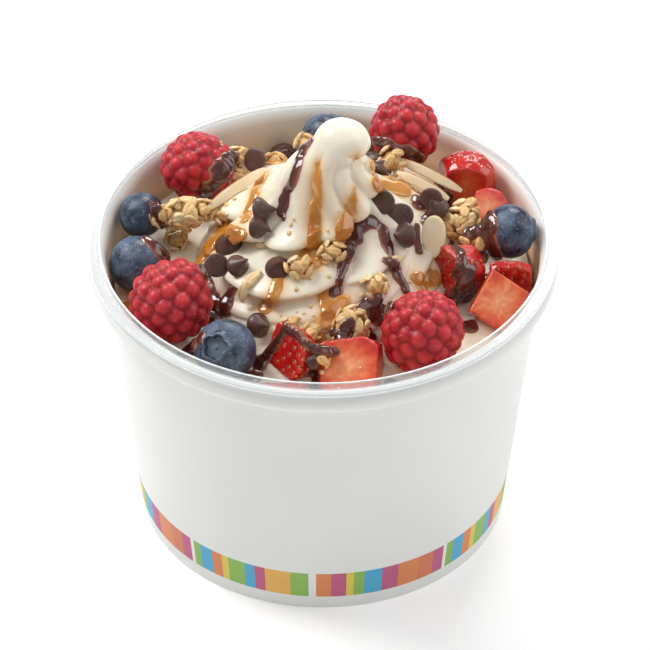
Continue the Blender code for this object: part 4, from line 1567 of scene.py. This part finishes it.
almonds = {
    # both ends, width, thickness
    "slivers": (
        ((-29.0, 11.0, 83.0), (-14.6, 22.6, 86.5), 2.9, 1.6),
        ((18.6, 22.6, 85.4), (31.6, 16.8, 81.5), 2.8, 1.7),
        ((19.0, 29.0, 84.5), (35.0, 23.0, 79.0), 2.6, 1.6),
        ((-32.0, 14.2, 74.5), (-30.2, 15.0, 80.0), 1.8, 1.2),
    ),
    "slice": ((27.6, 1.4, 81.6), (5.5, 3.1, 0.62)),
}


def makeAlmondFinish():
    material, nodes, links, shader = newMaterial("blanchedAlmond")
    grain = addGrain(nodes, 1300.0, 200.0, 1200.0, 0.64)
    rind = addNode(nodes, "ShaderNodeAttribute", attribute_name="rind")
    ramp = addRamp(nodes, ((0.25, (0.84, 0.67, 0.42)), (0.75, (0.93, 0.82, 0.60))))
    links.new(grain.outputs["Mottle"], ramp.inputs["Fac"])
    skin = addRamp(nodes, ((0.3, (0.30, 0.11, 0.025)), (0.7, (0.50, 0.23, 0.07))))
    links.new(grain.outputs["Grain"], skin.inputs["Fac"])
    links.new(mixColours(nodes, links, rind.outputs["Fac"], ramp.outputs["Color"], skin.outputs["Color"]),
              shader.inputs["Base Color"])
    rough = addNode(nodes, "ShaderNodeMapRange")
    rough.inputs["To Min"].default_value = 0.34
    rough.inputs["To Max"].default_value = 0.52
    links.new(grain.outputs["Grain"], rough.inputs["Value"])
    links.new(rough.outputs["Result"], shader.inputs["Roughness"])
    shader.inputs["Subsurface Weight"].default_value = 0.25
    shader.inputs["Subsurface Radius"].default_value = (1.0, 0.7, 0.4)
    shader.inputs["Subsurface Scale"].default_value = 1.0 * mm
    addBump(nodes, links, shader, grain.outputs["Grain"], 0.3, 0.12)
    return material


def buildSliver(start, end, width, thickness):
    # a cut stick: a bevelled bar, bowed and narrowed towards its ends
    deselectAll()
    bpy.ops.mesh.primitive_cube_add(size=2)
    piece = newPiece("sliver")
    length = (end - start).length / mm
    piece.scale = (length / 2, width / 2, thickness / 2)
    settle(piece)
    bpy.ops.object.mode_set(mode="EDIT")
    bpy.ops.mesh.select_all(action="SELECT")
    bpy.ops.mesh.subdivide(number_cuts=9)
    bpy.ops.object.mode_set(mode="OBJECT")
    points = pointsOf(piece)
    along = points[:, 0] / (length / 2)
    narrow = 1 - 0.62 * np.abs(along) ** 3.5
    # round the long edges a little
    corner = np.maximum(np.abs(points[:, 1]) / (width / 2), np.abs(points[:, 2]) / (thickness / 2))
    both = np.minimum(np.abs(points[:, 1]) / (width / 2), np.abs(points[:, 2]) / (thickness / 2))
    soft = 1 - 0.13 * both ** 3 * corner
    rough = np.array([noise.noise(Vector(point) * 0.7) for point in points])
    storeValues(piece, "rind", np.clip(softStep(0.82, 0.98, points[:, 1] / (width / 2)), 0, 1))
    points[:, 1] = points[:, 1] * narrow * soft + 0.10 * rough + 0.25 * (1 - along ** 2)
    points[:, 2] = points[:, 2] * narrow * soft + 0.12 * rough + 0.35 * (1 - along ** 2)
    movePoints(piece, points * mm)
    way = (end - start).normalized()
    side = towardsViewer.cross(way).normalized()
    frameIn = Matrix((way, side, way.cross(side))).transposed().to_4x4()
    piece.data.transform(Matrix.Translation((start + end) / 2) @ frameIn)
    return piece


def buildAlmonds(finish):
    parts = []
    for first, last, width, thickness in almonds["slivers"]:
        ends = []
        for place in (first, last):
            spot, normal = landOn(yogurtTree, place)
            ends.append(Vector(place) * mm)
        parts.append(buildSliver(ends[0], ends[1], width, thickness))
    place, half = almonds["slice"]
    deselectAll()
    bpy.ops.mesh.primitive_uv_sphere_add(segments=48, ring_count=24, radius=1)
    piece = newPiece("slice")
    points = pointsOf(piece)
    flat = np.hypot(points[:, 0], points[:, 1])
    points[:, 2] = np.sign(points[:, 2]) * np.minimum(np.abs(points[:, 2]) * 2.2, 1) * (0.85 + 0.15 * (1 - flat ** 2))
    storeValues(piece, "rind", softStep(0.955, 0.995, flat) * 0.8)
    shaped = points * np.array(half)
    shaped[:, 1] *= 1 + 0.16 * points[:, 0]
    shaped[:, 2] += 0.10 * points[:, 0] ** 2 + 0.12 * np.sin(2.4 * points[:, 0])
    movePoints(piece, shaped * mm)
    spot, normal = landOn(yogurtTree, place)
    face = (towardsViewer + Vector((-0.25, -0.1, 0.0))).normalized()
    long = (Vector((0.05, 0.55, 0.85)) - face * face.dot(Vector((0.05, 0.55, 0.85)))).normalized()
    frameIn = Matrix((long, face.cross(long), face)).transposed().to_4x4()
    piece.data.transform(Matrix.Translation(Vector(place) * mm + towardsViewer * 4.6 * mm) @ frameIn)
    parts.append(piece)
    piece = joinAll(parts, "almondPieces")
    smoothBelow(piece, 42)
    return addToModel(piece, [finish])


almondPieces = buildAlmonds(makeAlmondFinish())
print("almonds")


# sauces: thin runs and pools, laid as overlapping drops and skinned over

chocolateSauce = {
    "name": "chocolateSauce",
    "voxel": 0.32,
    "spacing": 0.75,
    "thickness": 0.56,
    "spread": 1.35,
    "calm": 0.45,
    "seed": 17,
    # pools between the fruit: x, y and half width; real sauce, and also dark sauce standing in for painted shade in the
    # gaps between the fruit
    "pools": (
        (-31.0, -10.5, 2.4), (-28.0, -22.0, 2.8), (-25.0, -25.0, 2.4), (-17.0, -38.5, 3.0), (-15.0, -33.0, 2.4),
        (-19.0, -28.0, 2.2), (-2.0, -43.0, 2.6), (17.0, -41.5, 2.4), (39.5, 0.5, 2.6), (38.0, 9.5, 3.0),
        (34.0, 5.5, 2.8), (42.0, 14.0, 2.8), (36.0, -19.5, 2.4), (31.0, -13.0, 2.4), (30.0, -17.5, 2.6),
        (45.0, -9.0, 2.0), (-42.5, 6.0, 2.4), (-39.0, 1.5, 2.4), (-37.5, -2.5, 2.2), (-41.0, 9.0, 2.0), (13.0, 27.0, 2.6),
        (28.5, 20.0, 2.6), (24.0, 13.0, 2.2), (3.5, -31.0, 2.6), (12.0, -27.0, 2.4),
    ),
    # each run: x, y, z and half width along it
    "runs": (
        ((-2.6, 9.0, 106.6, 0.7), (-4.6, 8.7, 104.0, 1.3), (-5.7, 3.5, 103.4, 1.4), (-7.5, 2.0, 98.3, 1.3),
         (-9.5, -0.1, 94.9, 1.3), (-10.2, -2.5, 92.9, 1.1), (-9.5, -3.7, 92.0, 0.8)),
        ((7.9, -9.0, 89.3, 1.8), (7.2, -7.4, 90.6, 2.0), (9.2, -5.7, 91.4, 1.9), (12.2, -4.0, 91.0, 1.6),
         (14.7, -4.5, 88.2, 1.6), (15.7, -6.5, 85.6, 1.5), (16.7, -8.7, 84.2, 1.2)),
        ((8.2, -7.4, 90.0, 1.6), (5.9, -11.7, 87.0, 1.4), (4.5, -16.2, 84.6, 1.0), (3.7, -19.1, 83.2, 1.1),
         (3.2, -21.2, 82.3, 1.4)),
        ((15.7, -10.2, 83.5, 1.0), (17.7, -10.4, 82.6, 1.2), (18.6, -13.6, 81.2, 1.2), (20.1, -15.8, 80.2, 1.1),
         (20.6, -17.1, 79.5, 0.9)),
        ((23.4, 3.0, 84.0, 0.8), (23.2, -0.6, 82.5, 1.0), (24.0, -3.4, 81.0, 0.9)),
        ((-22.2, -12.9, 77.0, 1.0), (-23.7, -15.1, 75.0, 1.4), (-24.4, -17.8, 73.3, 1.7)),
        ((-30.5, -13.3, 87.6, 0.8), (-31.5, -15.3, 87.4, 1.1), (-29.0, -18.0, 85.4, 1.2), (-27.2, -20.0, 81.0, 1.2)),
        ((-27.5, -9.3, 73.4, 1.4), (-26.7, -14.6, 73.0, 1.4), (-27.2, -17.2, 70.2, 1.6)),
        ((-22.5, 30.0, 85.0, 1.4), (-24.5, 26.2, 85.6, 2.1), (-26.5, 23.8, 84.4, 2.4), (-28.0, 22.2, 82.4, 2.0),
         (-29.5, 21.4, 79.6, 1.5)),
        ((12.4, 35.7, 85.3, 1.0), (15.6, 30.9, 88.5, 1.2), (18.1, 29.9, 88.0, 1.2), (21.4, 28.9, 87.6, 1.3),
         (24.5, 30.6, 83.6, 1.3)),
        ((32.9, -4.6, 83.1, 0.9), (34.1, -6.5, 83.3, 1.2), (34.6, -10.0, 83.0, 1.1), (33.6, -11.7, 80.2, 1.4)),
        ((-15.1, -32.1, 69.1, 1.3), (-12.6, -32.7, 73.5, 1.2), (-8.9, -33.1, 80.9, 1.1), (-6.2, -36.2, 81.6, 1.0),
         (-3.7, -38.1, 79.2, 1.0), (-0.8, -36.2, 76.4, 1.2), (3.0, -37.2, 76.6, 1.1)),
        ((-42.9, 13.6, 82.2, 1.1), (-41.6, 12.9, 80.4, 1.6), (-41.2, 12.4, 77.6, 1.7)),
        ((-44.2, -0.2, 82.1, 1.2), (-41.7, -2.5, 80.7, 1.7), (-40.0, -1.6, 77.4, 1.9)),
        ((41.8, 8.0, 83.4, 1.3), (42.0, 4.1, 83.4, 1.9), (42.2, 1.5, 80.6, 2.1), (43.0, 1.1, 77.2, 2.0)),
        ((5.4, -31.4, 79.4, 1.2), (6.7, -31.3, 81.3, 1.1), (4.7, -31.2, 76.1, 1.2), (3.2, -29.0, 76.0, 1.3)),
        ((12.9, -20.3, 79.5, 1.9), (10.4, -22.6, 78.0, 2.1), (13.6, -24.3, 77.0, 2.0), (16.2, -22.0, 78.0, 1.6)),
        ((32.9, -12.1, 73.1, 1.8), (36.6, -10.7, 81.0, 1.4), (35.5, -14.0, 76.0, 2.0)),
        ((-3.6, -40.6, 73.0, 1.5), (-2.0, -36.8, 74.0, 1.6), (-1.2, -42.6, 71.0, 1.3)),
        ((25.5, 7.0, 81.0, 1.6), (28.5, 13.5, 80.0, 1.7), (31.0, 17.5, 79.0, 1.4)),
        ((36.0, 8.0, 77.0, 1.5), (39.5, 10.0, 77.0, 1.6), (42.5, 12.0, 76.0, 1.3)),
        ((27.5, 27.5, 80.0, 1.3), (30.0, 24.0, 80.5, 1.5), (31.0, 20.5, 79.5, 1.6)),
        ((-39.0, -34.0, 70.5, 1.1), (-33.5, -31.0, 71.0, 1.4), (-30.0, -27.0, 72.5, 1.3)),
    ),
}

caramelSauce = {
    "name": "caramelSauce",
    "voxel": 0.32,
    "spacing": 0.75,
    "thickness": 0.44,
    "spread": 1.42,
    "calm": 0.0,
    "seed": 23,
    "pools": (
        (-47.0, -10.0, 3.2), (-45.5, -15.5, 2.4), (-34.5, -6.0, 3.0), (27.0, -19.0, 3.0), (22.5, -20.0, 2.8),
        (-32.5, 2.0, 2.6), (24.0, 25.0, 2.6), (17.0, 20.0, 2.4), (-1.0, -29.0, 2.6),
        (-13.0, 33.0, 2.6), (26.7, -9.5, 2.4), (24.4, -12.0, 2.0),
    ),
    "runs": (
        ((-1.3, 0.7, 105.7, 0.7), (-1.7, -2.3, 101.4, 1.4), (-1.5, -4.0, 96.4, 1.7), (-1.3, -7.5, 92.9, 1.9),
         (-1.8, -10.7, 89.7, 2.3)),
        ((-4.5, -11.9, 86.8, 1.4), (-1.3, -11.8, 87.4, 2.2), (0.7, -10.4, 88.2, 1.8), (-2.0, -13.5, 86.0, 1.5)),
        ((7.9, 0.0, 98.6, 0.4), (7.7, -0.7, 96.6, 0.8), (6.7, -3.1, 94.1, 1.3), (5.5, -6.1, 91.7, 1.7),
         (4.5, -8.7, 89.7, 1.6)),
        ((-11.0, -15.4, 82.4, 1.0), (-11.7, -17.3, 80.7, 1.3), (-12.7, -19.7, 79.4, 1.2), (-14.2, -21.7, 78.2, 1.6)),
        ((-25.3, 6.7, 80.0, 1.7), (-20.7, 1.1, 82.6, 1.5), (-27.1, 3.7, 78.6, 1.9), (-30.8, -1.2, 76.6, 1.5)),
        ((-19.5, 3.6, 85.5, 1.2), (-17.8, 6.6, 87.8, 1.4), (-17.2, 9.5, 88.5, 1.2)),
        ((-16.8, 14.9, 85.9, 1.4), (-16.0, 19.0, 85.0, 1.3), (-15.4, 23.5, 83.8, 1.2)),
        ((12.2, 12.5, 97.0, 0.7), (12.5, 15.9, 89.9, 1.3), (13.7, 8.2, 92.6, 1.5), (20.3, 15.5, 85.4, 1.7),
         (20.4, 24.9, 80.5, 1.4)),
        ((-0.3, -20.4, 81.5, 1.0), (1.2, -23.9, 79.0, 1.5), (5.4, -22.3, 80.9, 1.3), (0.2, -24.4, 75.6, 1.6)),
        ((8.2, 5.2, 104.6, 0.4), (8.5, 4.6, 104.4, 0.6)),
        ((-34.2, -4.0, 73.0, 1.6), (-36.5, -6.0, 71.5, 1.3)),
        ((-15.0, 36.0, 78.0, 1.5), (-20.0, 35.0, 77.0, 1.6), (-24.0, 38.0, 74.5, 1.3)),
    ),
}


def layDrops(sauce, tree):
    # overlapping flat drops along every run, each lying on whatever is under it
    chance = random.Random(sauce["seed"])
    deselectAll()
    bpy.ops.mesh.primitive_ico_sphere_add(subdivisions=2, radius=mm)
    drop = newPiece("drop")
    drops = []
    for run in sauce["runs"]:
        for first, second in zip(run, run[1:]):
            start, end = Vector(first[:3]), Vector(second[:3])
            steps = max(1, round((end - start).length / sauce["spacing"]))
            for i in range(steps + 1):
                share = i / steps
                wide = first[3] + (second[3] - first[3]) * share
                place = start.lerp(end, share)
                spot, normal = landOn(tree, place)
                if (spot / mm - place).length > 9:
                    continue
                wide *= sauce["spread"] * chance.uniform(0.9, 1.12)
                thick = sauce["thickness"] * (0.75 + 0.25 * min(wide, 1.6))
                normal = normal.lerp(towardsViewer, sauce["calm"]).normalized()
                drops.append(copyPiece(drop, poseMatrix(spot, normal, 0) @ Matrix.Diagonal((wide, wide, thick, 1))))
        # a bead where the run ends
        bead = run[-1][3] * sauce["spread"] * 1.08
        drops.append(copyPiece(drop, poseMatrix(spot, normal, 0) @ Matrix.Diagonal((bead, bead, sauce["thickness"] * 1.3, 1))))
    for x, y, size in sauce["pools"]:
        for i in range(5):
            spot, normal = dropOn(yogurtTree, x + chance.uniform(-0.5, 0.5) * size, y + chance.uniform(-0.5, 0.5) * size)
            wide = size * chance.uniform(0.7, 1.0)
            if spot is None or math.hypot(spot.x, spot.y) > (52.5 - wide) * mm:
                continue
            drops.append(copyPiece(drop, poseMatrix(spot, normal, 0) @ Matrix.Diagonal((wide, wide, sauce["thickness"] * 1.5, 1))))
    bpy.data.objects.remove(drop)
    return joinAll(drops, sauce["name"])


def buildSauce(sauce, finish, tree):
    piece = layDrops(sauce, tree)
    remeshPiece(piece, sauce["voxel"], 9, 0.6)
    points = pointsOf(piece)
    depth = np.array([tree.find_nearest(Vector(point))[3] for point in points]) / mm
    storeValues(piece, "film", depth)
    smoothBelow(piece, 80)
    return addToModel(piece, [finish])


def makeSauceFinish(name, thin, middle, thick, roughness):
    # a glossy sauce that pales where it thins out
    material, nodes, links, shader = newMaterial(name)
    grain = addGrain(nodes, 500.0, 130.0)
    film = addNode(nodes, "ShaderNodeAttribute", attribute_name="film")
    uneven = mathNode(nodes, links, "MULTIPLY_ADD", grain.outputs["Mottle"], 0.5, -0.25)
    level = mathNode(nodes, links, "ADD", film.outputs["Fac"], uneven)
    ramp = addRamp(nodes, ((0.05, thin), (0.38, middle), (0.75, thick)))
    links.new(level, ramp.inputs["Fac"])
    links.new(ramp.outputs["Color"], shader.inputs["Base Color"])
    rough = addNode(nodes, "ShaderNodeMapRange")
    rough.inputs["To Min"].default_value = roughness * 0.7
    rough.inputs["To Max"].default_value = roughness * 1.4
    links.new(grain.outputs["Mottle"], rough.inputs["Value"])
    links.new(rough.outputs["Result"], shader.inputs["Roughness"])
    shader.inputs["Subsurface Weight"].default_value = 0.3
    shader.inputs["Subsurface Radius"].default_value = (1.0, 0.5, 0.15)
    shader.inputs["Subsurface Scale"].default_value = 0.8 * mm
    shader.inputs["Coat Weight"].default_value = 0.6
    shader.inputs["Coat Roughness"].default_value = 0.04
    addBump(nodes, links, shader, grain.outputs["Mottle"], 0.12, 0.3)
    return material


cocoaFinish = makeSauceFinish("cocoaSauce", (0.38, 0.16, 0.10), (0.15, 0.034, 0.018), (0.078, 0.017, 0.011), 0.12)
caramelFinish = makeSauceFinish("amberCaramel", (0.80, 0.48, 0.16), (0.60, 0.26, 0.040), (0.46, 0.155, 0.012), 0.10)
toppedTree = treeOf([yogurtSwirl] + fruit + oats)
caramelLayer = buildSauce(caramelSauce, caramelFinish, yogurtTree)
chocolateLayer = buildSauce(chocolateSauce, cocoaFinish, toppedTree)
print("sauces")


# stains that the sauces leave in the yogurt

stains = {
    # middle, reach and strength of the caramel that soaked in near the tub's edge
    "soaked": (
        ((-46.0, -8.0, 70.0), 9.0, 0.75), ((-38.0, 2.0, 71.0), 9.0, 0.8), ((-28.0, 4.0, 79.0), 4.5, 0.6),
        ((-20.0, 34.0, 74.0), 9.0, 0.6), ((48.0, -22.0, 69.0), 9.0, 0.62), ((40.0, -36.0, 69.0), 10.0, 0.66),
        ((26.0, 24.0, 76.0), 8.0, 0.5), ((12.0, 12.0, 90.0), 4.0, 0.45), ((2.0, -25.0, 77.0), 4.5, 0.45),
        ((-34.0, -38.0, 69.0), 8.0, 0.35), ((30.0, 36.0, 70.0), 8.0, 0.35),
    ),
    "creep": 1.2,
}


def stainYogurt():
    points = pointsOf(yogurtSwirl)
    caramelTree = treeOf([caramelLayer])
    cocoaTree = treeOf([chocolateLayer])
    reach = stains["creep"] * mm
    amber = np.zeros(len(points))
    cocoa = np.zeros(len(points))
    for i, point in enumerate(points):
        if point[2] < 66 * mm:
            continue
        near = caramelTree.find_nearest(Vector(point), 4 * mm)[3]
        if near is not None:
            amber[i] = math.exp(-near / reach)
        near = cocoaTree.find_nearest(Vector(point), 4 * mm)[3]
        if near is not None:
            cocoa[i] = math.exp(-near / reach)
    for middle, size, strength in stains["soaked"]:
        gap = np.linalg.norm(points / mm - np.array(middle), axis=1)
        amber = np.maximum(amber, strength * softStep(size, size * 0.25, gap))
    storeValues(yogurtSwirl, "amber", amber)
    storeValues(yogurtSwirl, "cocoa", cocoa)


stainYogurt()
print("stains")
